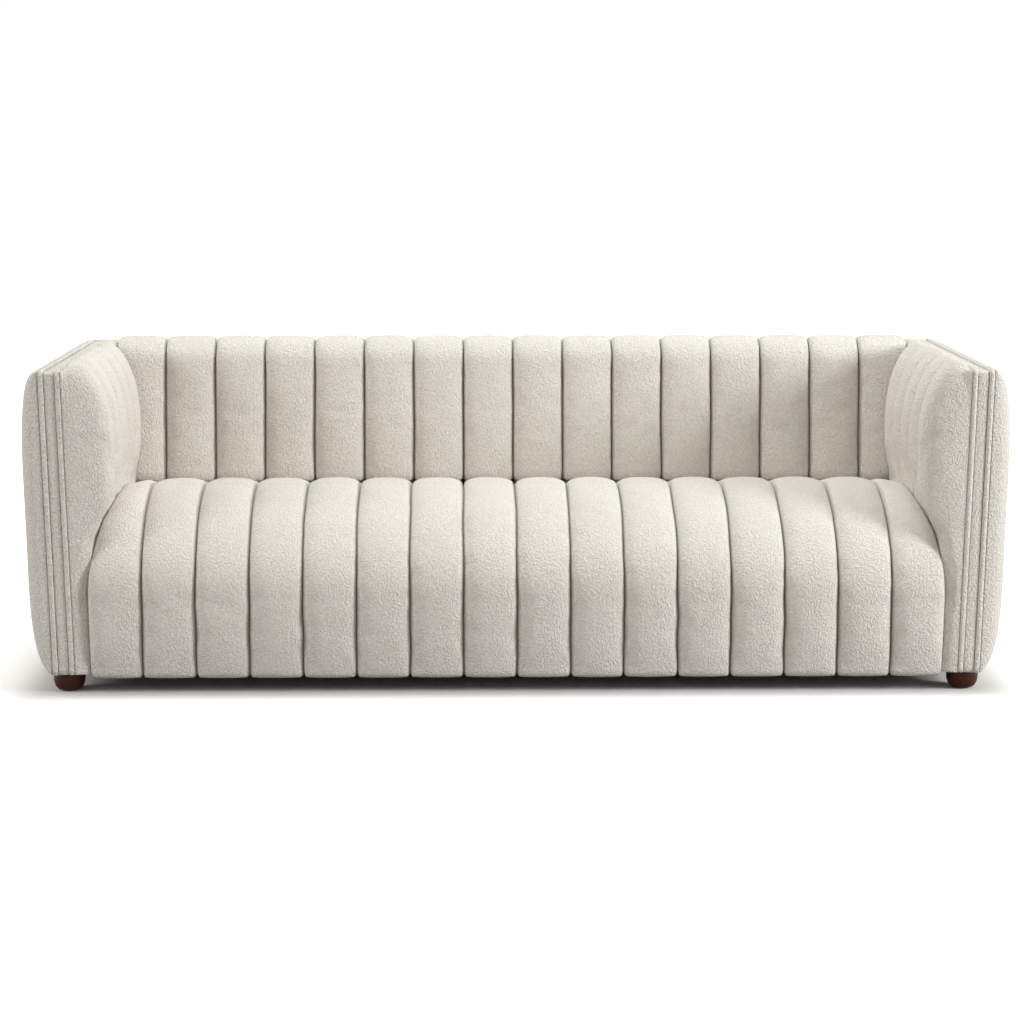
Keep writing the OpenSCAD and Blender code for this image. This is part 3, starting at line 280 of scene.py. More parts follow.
class Tree:
    """Adds nodes to a node tree and links them."""

    def __init__(self, tree: NodeTree) -> None:
        """Keeps the tree."""
        self.tree = tree

    def add(self, kind: str, inputs: Mapping[str | int, Value] | None = None,
            **settings: object) -> Node:
        """Adds a node.

        Args:
            kind: the node's type name, with or without its first word.
            inputs: a value or a socket for each input, by name or place.
            settings: the node's own settings.
        """
        made = self.tree.nodes.new(kind if kind.startswith("NodeGroup") else f"ShaderNode{kind}")
        for name, value in settings.items():
            setattr(made, name, value)
        for name, value in (inputs or {}).items():
            if isinstance(value, NodeSocket):
                self.tree.links.new(value, made.inputs[name])
            else:
                made.inputs[name].default_value = value
        return made

    def math(self, what: str, *values: Value, clamp: bool = False) -> NodeSocket:
        """Adds a Math node and returns its result."""
        return self.add("Math", dict(enumerate(values)), operation=what, use_clamp=clamp).outputs[0]

    def times(self, a: Value, b: Value) -> NodeSocket:
        """Multiplies two values."""
        return self.math("MULTIPLY", a, b)

    def plus(self, a: Value, b: Value) -> NodeSocket:
        """Adds two values."""
        return self.math("ADD", a, b)

    def minus(self, a: Value, b: Value) -> NodeSocket:
        """Takes the second value from the first."""
        return self.math("SUBTRACT", a, b)

    def vector(self, what: str, *values: Value, **named: Value) -> NodeSocket:
        """Adds a Vector Math node and returns its vector."""
        return self.add("VectorMath", dict(enumerate(values)) | named, operation=what).outputs[0]

    def blend(self, share: Value, a: Value, b: Value) -> NodeSocket:
        """Mixes two colours and returns the result."""
        return self.add("Mix", {0: share, 6: a, 7: b}, data_type="RGBA").outputs[2]

    def ramp(self, share: Value, low: float, high: float) -> NodeSocket:
        """Eases a value from 0 at low to 1 at high."""
        return self.add("MapRange", {"Value": share, "From Min": low, "From Max": high},
                        interpolation_type="SMOOTHSTEP").outputs[0]

    def noise(self, place: Value, scale: Value, detail: float = 2.0, rough: float = 0.5) -> Node:
        """Adds a Noise Texture."""
        return self.add("TexNoise",
                        {"Vector": place, "Scale": scale, "Detail": detail, "Roughness": rough})

    def cells(self, place: Value, scale: Value) -> NodeSocket:
        """Adds a smooth Voronoi Texture and returns its distances."""
        return self.add("TexVoronoi", {"Vector": place, "Scale": scale},
                        feature="SMOOTH_F1").outputs["Distance"]

    def place(self, turn: Spot = (0, 0, 0), scale: Spot = (1, 1, 1)) -> NodeSocket:
        """Object coordinates, turned and scaled."""
        place = self.add("TexCoord").outputs["Object"]
        return self.add("Mapping", {"Vector": place, "Rotation": turn, "Scale": scale}).outputs[0]


def empty_tree(holder: Material | bpy.types.World) -> Tree:
    """Turns on the nodes of a material or world, and takes the first ones out."""
    holder.use_nodes = True
    holder.node_tree.nodes.clear()
    return Tree(holder.node_tree)


def pattern(name: str, **inputs: float | tuple) -> Callable[..., Callable[[], NodeTree]]:
    """Turns a function that adds a pattern's nodes into one that makes their node group, once.

    Args:
        name: the group's name.
        inputs: each input's first value; a tuple makes a colour.

    Returns:
        The decorator. Its function is given the tree and the group's inputs, and returns the
        sockets of the colour, the height and the roughness.
    """

    def wrap(fill: Callable[[Tree, Sockets], Look]) -> Callable[[], NodeTree]:
        def make() -> NodeTree:
            if name in bpy.data.node_groups:
                return bpy.data.node_groups[name]
            tree = bpy.data.node_groups.new(name, "ShaderNodeTree")
            for key, value in inputs.items():
                kind = "NodeSocketColor" if isinstance(value, tuple) else "NodeSocketFloat"
                made = tree.interface.new_socket(key, in_out="INPUT", socket_type=kind)
                made.default_value = plain(value)
            for key, kind in OUTPUTS.items():
                tree.interface.new_socket(key, in_out="OUTPUT", socket_type=kind)
            nodes = Tree(tree)
            look = fill(nodes, nodes.add("NodeGroupInput").outputs)
            nodes.add("NodeGroupOutput", dict(zip(OUTPUTS, look)))
            return tree

        return make

    return wrap


# The pit and seam colours are painted shade: in the hollows between the nubs, and in the seams'
# clefts.
@pattern("looped yarn", Size=0.006, Yarn=(0.8, 0.78, 0.74), Pit=(0.5, 0.47, 0.4),
         Seam=(0.25, 0.22, 0.16))
def looped_yarn(n: Tree, given: Sockets) -> Look:
    """Looped yarn: slanting nubs with curls on them, with painted shade in the pits between them and
    in the seams' clefts.
    """
    per_metre = n.math("DIVIDE", 1.0, given["Size"])
    place = n.place(turn=(0.5, 0.75, 0.35), scale=(1.0, 1.0, 0.85))
    push = n.noise(place, n.times(per_metre, 0.5), 1.0).outputs["Color"]
    push = n.vector("ADD", push, (-0.5, -0.5, -0.5))
    bent = n.vector("ADD", place, n.vector("SCALE", push, Scale=n.times(given["Size"], 1.6)))
    nub = n.minus(1.0, n.ramp(n.cells(bent, per_metre), 0.0, 0.75))
    curl = n.noise(bent, n.times(per_metre, 1.6), 2.0, 0.6).outputs["Fac"]
    height = n.plus(n.times(nub, 0.55), n.times(curl, 0.6))
    patch = n.noise(n.place(), 5.0, 3.0).outputs["Fac"]
    shade = n.math("ADD", height, n.times(n.minus(patch, 0.5), 0.3), clamp=True)
    # Painted shade: the pit colour darkens the low parts between the nubs, where shade falls, with
    # random patches of tone mixed in.
    colour = n.blend(shade, given["Pit"], given["Yarn"])
    # Painted shade: the colour darkens towards the seam colour in the narrow clefts along the seams,
    # where the folds fall into shade.
    seam = n.ramp(n.add("Attribute", attribute_name="seam").outputs["Fac"], 0.4, 1.0)
    colour = n.blend(n.times(seam, 0.85), colour, given["Seam"])
    return colour, height, n.minus(0.98, n.times(nub, 0.08))


@pattern("wood grain", Along=(0.08, 1.0, 1.0), Bands=14.0, Light=(0.7, 0.52, 0.33),
         Dark=(0.5, 0.34, 0.2), Roughness=0.6)
def wood_grain(n: Tree, given: Sockets) -> Look:
    """Wood grain along the axis that Along shrinks: bands, pores and slow changes."""
    along = n.vector("MULTIPLY", n.add("TexCoord").outputs["Object"], given["Along"])
    slow = n.noise(along, 9.0, 3.0)
    bent = n.vector("ADD", along, slow.outputs["Color"])
    bands = n.add("TexWave", {"Vector": bent, "Scale": given["Bands"], "Distortion": 3.0,
                              "Detail": 3.0, "Detail Scale": 1.5},
                  wave_type="RINGS", rings_direction="X").outputs["Fac"]
    pores = n.ramp(n.noise(along, 420.0, 2.0, 0.7).outputs["Fac"], 0.56, 0.68)
    share = n.plus(n.times(bands, 0.6), n.times(slow.outputs["Fac"], 0.4))
    colour = n.blend(share, given["Dark"], given["Light"])
    colour = n.blend(n.times(pores, 0.45), colour, given["Dark"])
    height = n.minus(n.times(bands, 0.3), n.times(pores, 0.7))
    return colour, height, n.plus(given["Roughness"], n.times(pores, 0.15))


@pattern("matted fibres", Size=0.002, Top=(0.8, 0.8, 0.8), Deep=(0.5, 0.5, 0.5),
         Fleck=(0.3, 0.2, 0.2), Flecks=0.0)
def matted_fibres(n: Tree, given: Sockets) -> Look:
    """Matted fibres or open cells: fine pits with flecks of a second colour."""
    place, per_metre = n.place(), n.math("DIVIDE", 1.0, given["Size"])
    fuzz = n.noise(place, n.times(per_metre, 0.6), 5.0, 0.7).outputs["Fac"]
    height = n.plus(n.times(n.cells(place, per_metre), 0.6), n.times(fuzz, 0.5))
    fleck = n.ramp(n.noise(place, n.times(per_metre, 0.35)).outputs["Fac"], 0.6, 0.66)
    colour = n.blend(n.ramp(height, 0.2, 0.8), given["Deep"], given["Top"])
    colour = n.blend(n.times(fleck, given["Flecks"]), colour, given["Fleck"])
    return colour, height, n.plus(0.85, n.times(fuzz, 0.1))


@pattern("plain weave", Size=0.002, Top=(0.3, 0.3, 0.3), Deep=(0.1, 0.1, 0.1))
def plain_weave(n: Tree, given: Sockets) -> Look:
    """A plain weave in the X-Z and X-Y planes: warp over weft, with a little fuzz."""
    axes = n.add("SeparateXYZ", {0: n.place()}).outputs
    turns = n.math("DIVIDE", math.pi, given["Size"])
    warp, weft = (n.math("SINE", n.times(axis, turns))
                  for axis in (axes["X"], n.plus(axes["Y"], axes["Z"])))
    height = n.math("MULTIPLY_ADD", n.times(warp, weft), 0.5, 0.5)
    fuzz = n.noise(n.place(), 900.0, 3.0).outputs["Fac"]
    share = n.math("MULTIPLY_ADD", fuzz, 0.35, n.times(height, 0.65))
    colour = n.blend(share, given["Deep"], given["Top"])
    return colour, height, n.math("MULTIPLY_ADD", fuzz, 0.1, 0.8)


@pattern("fine scuffs", Clean=(0.6, 0.6, 0.6), Dull=(0.4, 0.4, 0.4), Roughness=0.35)
def fine_scuffs(n: Tree, given: Sockets) -> Look:
    """Drawn or plated metal, and moulded plastic: fine lines, spots and uneven sheen."""
    lines = n.noise(n.place(scale=(1.0, 0.06, 1.0)), 900.0, 3.0, 0.6).outputs["Fac"]
    spots = n.noise(n.place(), 60.0, 4.0, 0.6).outputs["Fac"]
    colour = n.blend(n.ramp(spots, 0.35, 0.7), given["Dull"], given["Clean"])
    return colour, lines, n.plus(given["Roughness"], n.times(n.minus(lines, 0.5), 0.3))


@dataclass(frozen=True)
class Finish:
    """A finish: a pattern with its values and bump, and the shader's own plain values."""

    name: str
    pattern: Callable[[], NodeTree]
    values: Mapping[str, float | tuple]
    bump: float
    bump_depth: float
    shader: Mapping[str, float] = field(default_factory=dict)

    def material(self) -> Material:
        """Makes the material, once."""
        if self.name in bpy.data.materials:
            return bpy.data.materials[self.name]
        made = bpy.data.materials.new(self.name)
        nodes = empty_tree(made)
        look = nodes.add("Group", node_tree=self.pattern())
        for key, value in self.values.items():
            look.inputs[key].default_value = plain(value)
        bump = nodes.add("Bump", {"Strength": self.bump, "Distance": self.bump_depth,
                                  "Height": look.outputs["Height"]})
        shader = nodes.add("BsdfPrincipled", {
            "Base Color": look.outputs["Color"], "Roughness": look.outputs["Roughness"],
            "Normal": bump.outputs[0], **self.shader})
        nodes.add("OutputMaterial", {"Surface": shader.outputs[0]})
        return made


WOOD = 0.35, 0.0005, {"Specular IOR Level": 0.3}


class Finishes(Enum):
    """Every finish on the sofa."""

    # The boucle's pit colour is painted shade in the hollows between the nubs.
    BOUCLE = Finish("ivory boucle", looped_yarn,
                    {"Size": 0.0036, "Yarn": (0.885, 0.865, 0.835), "Pit": (0.66, 0.62, 0.55)},
                    1.0, 0.0043,
                    {"Sheen Weight": 0.1, "Sheen Roughness": 0.6, "Specular IOR Level": 0.1})
    FOOT = Finish("dark stained foot wood", wood_grain,
                  {"Along": (1.0, 1.0, 0.1), "Bands": 40.0, "Light": (0.078, 0.018, 0.008),
                   "Dark": (0.022, 0.006, 0.003), "Roughness": 0.38}, 0.2, 0.0004,
                  {"Coat Weight": 0.04, "Coat Roughness": 0.25, "Specular IOR Level": 0.15})
    RAIL_WOOD = Finish("frame wood, long way across", wood_grain, {}, *WOOD)
    SIDE_WOOD = Finish("frame wood, long way back", wood_grain, {"Along": (1.0, 0.08, 1.0)}, *WOOD)
    POST_WOOD = Finish("frame wood, long way up", wood_grain, {"Along": (1.0, 1.0, 0.08)}, *WOOD)
    HARDBOARD = Finish("brown hardboard", matted_fibres,
                       {"Size": 0.0015, "Top": (0.34, 0.22, 0.13), "Deep": (0.2, 0.12, 0.07),
                        "Fleck": (0.5, 0.36, 0.22), "Flecks": 0.4}, 0.25, 0.0003)
    FOAM = Finish("open-cell foam", matted_fibres,
                  {"Size": 0.0022, "Top": (0.86, 0.8, 0.58), "Deep": (0.62, 0.54, 0.33)},
                  0.6, 0.001)
    FELT = Finish("grey felt", matted_fibres,
                  {"Size": 0.0018, "Top": (0.42, 0.42, 0.44), "Deep": (0.22, 0.22, 0.24),
                   "Fleck": (0.12, 0.16, 0.35), "Flecks": 0.6}, 0.7, 0.001, {"Sheen Weight": 0.2})
    WEBBING = Finish("elastic webbing", plain_weave,
                     {"Size": 0.0022, "Top": (0.3, 0.27, 0.24), "Deep": (0.1, 0.09, 0.08)},
                     0.6, 0.0006)
    DUST_CLOTH = Finish("black dust cloth", plain_weave,
                        {"Size": 0.0014, "Top": (0.05, 0.05, 0.05), "Deep": (0.015, 0.015, 0.015)},
                        0.5, 0.0003)
    SPRING_STEEL = Finish("drawn spring steel", fine_scuffs,
                          {"Clean": (0.42, 0.42, 0.43), "Dull": (0.28, 0.26, 0.25),
                           "Roughness": 0.34}, 0.15, 0.0001, {"Metallic": 1.0})
    ZINC = Finish("zinc-plated steel", fine_scuffs,
                  {"Clean": (0.68, 0.69, 0.7), "Dull": (0.5, 0.51, 0.52), "Roughness": 0.3},
                  0.12, 0.0001, {"Metallic": 1.0})
    NYLON = Finish("black nylon", fine_scuffs,
                   {"Clean": (0.045, 0.045, 0.045), "Dull": (0.03, 0.03, 0.03), "Roughness": 0.5},
                   0.2, 0.0001)


# Meshes


def new_object(name: str, data: bpy.types.ID) -> Object:
    """Puts a mesh, a lamp or a camera in the scene."""
    made = bpy.data.objects.new(name, data)
    bpy.context.scene.collection.objects.link(made)
    return made


def object_from(bm: BMesh, name: str, finish: Finishes) -> Object:
    """Puts a finished bmesh in a smooth object at the origin, with its finish."""
    mesh = bpy.data.meshes.new(name)
    bm.to_mesh(mesh)
    bm.free()
    mesh.polygons.foreach_set("use_smooth", np.ones(len(mesh.polygons), bool))
    mesh.materials.append(finish.value.material())
    return new_object(name, mesh)


def opened(made: Object) -> BMesh:
    """A piece's mesh, opened for changes."""
    bm = bmesh.new()
    bm.from_mesh(made.data)
    return bm


def put_back(bm: BMesh, made: Object) -> None:
    """Puts a changed mesh back in its piece."""
    bm.to_mesh(made.data)
    bm.free()


def table(items: bpy.types.bpy_prop_collection, key: str = "co", width: int = 3) -> Array:
    """Reads a mesh's list of values, one row for each corner."""
    flat = np.zeros(len(items) * width, np.float32)
    items.foreach_get(key, flat)
    return flat.reshape(-1, width).astype(float)


def move_corners(made: Object, places: Array) -> None:
    """Moves an object's vertices."""
    made.data.vertices.foreach_set("co", places.astype(np.float32).ravel())
    made.data.update()


def net(places: Array, across: Array, along: Array, name: str,
        sharp: Callable[[float], bool] = lambda place: False, turned: bool = False) -> Object:
    """Lays a grid of boucle over a table of places, and keeps each corner's place in the table.

    Args:
        places: a place for each column and row, shaped (columns, rows, 3).
        across: each column's place across the piece, kept as the attribute "across".
        along: each row's place along the piece, kept as the attribute "along".
        name: the object's name.
        sharp: says which places across keep a crease when the net is refined.
        turned: whether the faces are turned over, where rows and columns run the other way round.
    """
    cols, rows = places.shape[:2]
    bm = bmesh.new()
    bmesh.ops.create_grid(bm, x_segments=cols - 1, y_segments=rows - 1, size=1.0)
    crease = bm.edges.layers.float.new("crease_edge")
    keep_across, keep_along = (bm.verts.layers.float.new(key) for key in ("across", "along"))
    home = {v: (round((v.co.x + 1) / 2 * (cols - 1)), round((v.co.y + 1) / 2 * (rows - 1)))
            for v in bm.verts}
    for e in bm.edges:
        a, b = (home[v][0] for v in e.verts)
        if a == b and sharp(float(across[a])):
            e[crease] = 1.0
    for v, (c, r) in home.items():
        v.co = places[c, r]
        v[keep_across], v[keep_along] = across[c], along[r]
    if turned:
        bmesh.ops.reverse_faces(bm, faces=bm.faces[:])
    return object_from(bm, name, Finishes.BOUCLE)


def kept_place(made: Object, which: str) -> Array:
    """Each corner's place across or along the piece, as the net kept it."""
    return table(made.data.attributes[which].data, "value", 1)[:, 0]


def evaluated(made: Object) -> Object:
    """An object as its modifiers leave it."""
    return made.evaluated_get(bpy.context.evaluated_depsgraph_get())


def swell(made: Object, sewn: Array, pressure: float = 5.0, reach: float = 0.004,
          slack: float = 0.02, frames: int = 20) -> None:
    """Blows the cloth up between its sewn lines, and applies the result.

    Args:
        made: the piece.
        sewn: for each corner, whether it is sewn down.
        pressure: how hard the fill pushes.
        reach: the furthest that a corner may move, in metres.
        slack: how much the cloth is cut over size.
        frames: steps of the simulation.
    """
    start = table(made.data.vertices)
    pins = made.vertex_groups.new(name="sewn")
    pins.add([int(i) for i in np.flatnonzero(sewn)], 1.0, "REPLACE")
    cloth = made.modifiers.new("cloth", "CLOTH")
    feel = cloth.settings
    feel.quality, feel.mass, feel.time_scale = 6, 0.3, 0.6
    feel.tension_stiffness = feel.compression_stiffness = 25.0
    feel.shear_stiffness, feel.bending_stiffness = 12.0, 1.5
    feel.use_pressure, feel.uniform_pressure_force = True, pressure
    feel.effector_weights.gravity = 0.0
    feel.vertex_group_mass = pins.name
    feel.shrink_min = -slack
    cloth.collision_settings.use_collision = False
    cloth.point_cache.frame_start, cloth.point_cache.frame_end = 1, frames
    scene = bpy.context.scene
    for frame in range(1, frames + 1):
        scene.frame_set(frame)
    moved = table(evaluated(made).data.vertices) - start
    length = np.linalg.norm(moved, axis=1, keepdims=True)
    capped = moved * reach * np.tanh(length / reach) / np.maximum(length, 1e-9)
    made.modifiers.remove(cloth)
    made.vertex_groups.remove(pins)
    scene.frame_set(1)
    move_corners(made, start + capped)
    LOG.info("%s swelled by %.1f mm at most", made.name, float(length.max()) / MM)


def refine(made: Object, levels: int = 1) -> None:
    """Subdivides a piece smoothly, and applies it."""
    finer = made.modifiers.new("finer", "SUBSURF")
    finer.levels = finer.render_levels = levels
    coarse = made.data
    made.data = bpy.data.meshes.new_from_object(evaluated(made))
    made.data.name = coarse.name
    made.modifiers.clear()
    bpy.data.meshes.remove(coarse)


def sink_seams(made: Object, seam_at: Callable[[Array], Array], axis: int, depth: float,
               width: float = 0.0050) -> None:
    """Pulls narrow clefts in along the seams, and keeps how near each corner is as "seam", the mask
    that the boucle uses to paint shade into the clefts.

    Args:
        made: the piece.
        seam_at: gives each corner's distance from its nearest seam, from its place across.
        axis: the direction from seam to seam, along which nothing moves.
        depth: how far the seam itself is pulled in.
        width: distance from the seam at which nothing moves.
    """
    near = hold(1.0 - seam_at(kept_place(made, "across")) / width)
    outward = table(made.data.vertices, "normal")
    outward[:, axis] = 0.0
    outward /= np.maximum(np.linalg.norm(outward, axis=1, keepdims=True), 1e-6)
    move_corners(made, table(made.data.vertices) - outward * (depth * near ** 1.5)[:, None])
    kept = made.data.attributes.new("seam", "FLOAT", "POINT")
    kept.data.foreach_set("value", near.astype(np.float32))


def rim_edges(bm: BMesh) -> list[BMEdge]:
    """The open edges of a mesh."""
    return [e for e in bm.edges if e.is_boundary]


def pull_out(bm: BMesh, edges: Sequence[BMEdge]) -> tuple[list[BMVert], list[BMEdge]]:
    """Extrudes edges in place, and gives the new corners and the new edges between them."""
    made = bmesh.ops.extrude_edge_only(bm, edges=list(edges))["geom"]
    verts = [g for g in made if isinstance(g, BMVert)]
    new = set(verts)
    return verts, [g for g in made if isinstance(g, BMEdge) and all(v in new for v in g.verts)]


def face_out(bm: BMesh) -> None:
    """Turns all faces outwards."""
    bmesh.ops.recalc_face_normals(bm, faces=bm.faces[:])


def close_up(bm: BMesh) -> None:
    """Fills what is still open, and turns all faces outwards."""
    filled = bmesh.ops.holes_fill(bm, edges=rim_edges(bm), sides=0)["faces"]
    bmesh.ops.triangulate(bm, faces=filled)
    face_out(bm)


def back_flat(made: Object, behind: Callable[[Vector], Spot]) -> None:
    """Closes a pad with walls from its rim to the board behind it, and a flat back.

    Args:
        made: the piece.
        behind: gives the place on the board behind a place on the rim.
    """
    bm = opened(made)
    for v in pull_out(bm, rim_edges(bm))[0]:
        v.co = behind(v.co)
    close_up(bm)
    put_back(bm, made)


def back_curved(made: Object, thick: float) -> None:
    """Closes a cover that spans the sofa with a smooth lining behind its channels.

    Args:
        made: the piece.
        thick: distance of the lining from the seams.
    """
    bm = opened(made)
    across, along, seam = (bm.verts.layers.float[name] for name in ("across", "along", "seam"))
    ends = {v[across] for v in bm.verts if v.is_boundary}
    linings = []
    for end in (min(ends), max(ends)):
        edge = [e for e in rim_edges(bm) if all(abs(v[across] - end) < 1e-3 for v in e.verts)]
        beside = {}
        for e in edge:
            for v, other in (e.verts, reversed(e.verts)):
                beside.setdefault(v, [v]).append(other)
        inward = {}
        for v, near in beside.items():
            near.sort(key=lambda n: n[along])
            run = near[-1].co - near[0].co
            inward[v] = Vector((0.0, run.z, -run.y)).normalized() * thick
        verts, lining = pull_out(bm, edge)
        for v in verts:
            v.co += next(inward[o] for o in (e.other_vert(v) for e in v.link_edges) if o in inward)
            v[seam] = 0.0
        linings += lining
    bmesh.ops.bridge_loops(bm, edges=linings)
    close_up(bm)
    put_back(bm, made)


def sweep(bm: BMesh, ring: Sequence[Vector], stations: Sequence[Matrix]) -> None:
    """Draws a closed ring along a row of stations and caps its ends.

    Args:
        bm: the mesh that it is added to.
        ring: the section, in a station's own X and Y.
        stations: where the section stands in turn.
    """
    verts = [bm.verts.new(stations[0] @ p) for p in ring]
    edges = [bm.edges.new((verts[i - 1], verts[i])) for i in range(len(verts))]
    for before, after in zip(stations, stations[1:]):
        verts, edges = pull_out(bm, edges)
        bmesh.ops.transform(bm, matrix=after @ before.inverted(), verts=verts)
    close_up(bm)


def hand_over(made: Object, slot: str, *nodes: str, fill: float | None = None) -> None:
    """Lets a piece ride with the sofa and stand for its solids."""
    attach(made, "root")
    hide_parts(*nodes)
    LOG.info("%s: %d faces", made.name, len(made.data.polygons))


class Side(Enum):
    """The two sides, as seen from the front."""

    LEFT = -1
    RIGHT = 1

    @property
    def word(self) -> str:
        """The side's name in the pieces' names."""
        return self.name.lower()


def mirror_to(made: Object, side: Side) -> None:
    """Turns a piece made for the right into its left twin, where that is its side."""
    if side is Side.RIGHT:
        return
    bm = opened(made)
    bmesh.ops.scale(bm, vec=(-1.0, 1.0, 1.0), verts=bm.verts[:])
    bmesh.ops.reverse_faces(bm, faces=bm.faces[:])
    put_back(bm, made)


# Covers


CHANNEL_SHARES = (0.0, 0.045, 0.12, 0.22, 0.35, 0.5, 0.65, 0.78, 0.88, 0.955)
SEWN = 0.01
HEM_SEWN = 0.03
FINE_STEPS = 3000


def channel_places(count: int) -> Array:
    """Places of the net's columns across a row of channels, one unit to a channel."""
    return np.array([i + t for i in range(count) for t in CHANNEL_SHARES] + [count])


def off_seam(place: Array) -> Array:
    """Share of a channel that lies between a place and its nearest seam."""
    return np.abs(place - np.round(place))


@dataclass
class SpanCover:
    """A channelled cover between the arms; its section runs from 0 to 3.

    Attributes:
        name: the piece's name.
        node: the solid that it stands for.
        middle: where in the fill the rows are evenly spaced, as line takes it.
        sewn_from: place along the section behind which the cover is sewn down.
        fullness: mean share of the full crown.
        wave: length of the crowns' waves.
        share_d: length of one unit of the section, for the waves.
        wander: how far the seams drift sideways.
        seed: chooses the waves.
    """

    name: str
    node: str
    middle: float
    sewn_from: float
    fullness: float
    wave: float
    share_d: float
    wander: float
    seed: int
    uneven: float = 0.05
    drift: float = 0.16
    channel_w: float = 0.12
    step: float = 0.0115
    cleft: float = 0.009

    def rows(self) -> Array:
        """Places along the section that lie evenly spaced on it."""
        shares = np.linspace(0.0, 3.0, FINE_STEPS)
        run = np.diff(np.stack(self.line(shares, self.middle)))
        gone = np.concatenate([[0.0], np.cumsum(np.linalg.norm(run, axis=0))])
        return np.interp(np.linspace(0.0, gone[-1], int(gone[-1] / self.step) + 2), gone, shares)

    def crowns(self, c: Array, s: Array) -> Array:
        """Uneven height of the crowns' middles, as a share."""
        waves = waver(c * self.channel_w, s * self.share_d, self.wave, self.seed)
        return self.fullness + self.uneven * waves

    def drifting(self, c: Array, s: Array) -> Array:
        """How far the cover lies aside, which is nothing at its ends."""
        waves = waver(c * self.channel_w, s * self.share_d, self.drift, self.seed + 2)
        return self.wander * np.sin(math.pi * c / P.channels) ** 0.25 * waves

    def build(self) -> None:
        """Makes the cover."""
        across, along = channel_places(P.channels), self.rows()
        made = net(self.surface(across, along), across, along, self.name, lambda c: c == round(c))
        c, s = kept_place(made, "across"), kept_place(made, "along")
        swell(made, (off_seam(c) < SEWN) | (s < HEM_SEWN) | (s > self.sewn_from))
        refine(made)
        sink_seams(made, lambda c: off_seam(c) * 2 * P.seat_half / P.channels, 0, self.cleft)
        back_curved(made, P.cover_t - self.cleft)
        hand_over(made, "boucle", self.node, fill=0.8)


@dataclass
class SeatCover(SpanCover):
    """The channelled seat, which runs over the front edge to the bottom."""

    name: str = "seat_cover"
    node: str = "seat_channel_cover"
    middle: float = 0.0
    sewn_from: float = 2.7
    fullness: float = 0.93
    wave: float = 0.35
    share_d: float = 0.35
    wander: float = 0.0009
    seed: int = 3
    hem_crown: float = 0.6
    hem_r: float = 0.008
    scallop: float = 0.001
    scallop_share: float = 1 / 3
    fade_d: float = 0.040
    end_fill: float = 0.5
    end_full: float = 0.95
    end_dip: float = 0.010
    dip_slope: float = 1.2
    dip_fade_d: float = 0.150

    def line(self, share: Array, off: Num) -> tuple[Array, Array]:
        """Depth and height of the seat's section, moved in by off.

        Args:
            share: 0 to 1 on the lower front, 1 to 2 over the rounding, 2 to 3 on the top.
            off: distance inside the seams.
        """
        low, turn, top = (hold(share - i) for i in range(3))
        under = hold(1.0 - low * (P.seat_full_z - P.seat_hem_z) / self.hem_r)
        front = (P.seam_y + off + P.seat_tuck * (1.0 - low) ** 2
                 + self.hem_r * (1.0 - round_out(under, 2.0)))
        y = np.where(share < 2.0,
                     front + (P.seat_roll_d - off) * (1.0 - round_out(turn, P.curve_n)),
                     mix(P.seam_y + P.seat_roll_d, P.seat_rear_y, top))
        rise = (P.seat_seam_z - P.seat_full_z - off) * round_up(turn, P.curve_n)
        z = np.where(share < 1.0, mix(P.seat_hem_z, P.seat_full_z, low),
                     P.seat_full_z + rise - P.seat_fall(y))
        return y, z

    def surface(self, across: Array, share: Array) -> Array:
        """Places on the seat's cover, shaped (columns, rows, 3)."""
        c, s = np.meshgrid(across, share, indexing="ij")
        y, _ = self.line(s, 0.0)
        crown = np.where(s < 1.0, P.seat_front_crown * mix(self.hem_crown, 1.0, smooth(2 * s)),
                         mix(P.seat_front_crown, P.seat_top_crown, smooth(s - 1.0)))
        fade = smooth((y - P.seam_y - P.seat_depth) / self.fade_d)
        full = mix(plump(c - np.floor(c)) * self.crowns(c, s), 1.0, np.where(s > 2.0, fade, 0.0))
        half = P.seat_half - P.seat_front_in * hold(1.0 - (y - P.seam_y) / P.seat_squeeze_d)
        pitch = 2 * half / P.channels
        end, inner = P.seat_end(y), half - pitch
        x = np.where(c < 1.0, mix(-end, -inner, c), c * pitch - half)
        x = np.where(c > P.channels - 1, mix(inner, end, c - P.channels + 1), x)
        from_end = np.minimum(c, P.channels - c)
        dip = smooth(self.dip_slope * (1.0 - from_end)) * smooth(s - 1.0)
        dip *= 1.0 - smooth((y - P.seat_low_y + self.dip_fade_d) / self.dip_fade_d)
        full = mix(full, np.maximum(full, self.end_full),
                   self.end_fill * np.where(from_end < 0.5, dip, 0.0))
        y, z = self.line(s, -crown * full)
        low = hold(1.0 - s / self.scallop_share) ** 2
        z = z - self.end_dip * dip - self.scallop * full * low
        return np.stack([x + self.drifting(c, s), y, z], axis=-1)


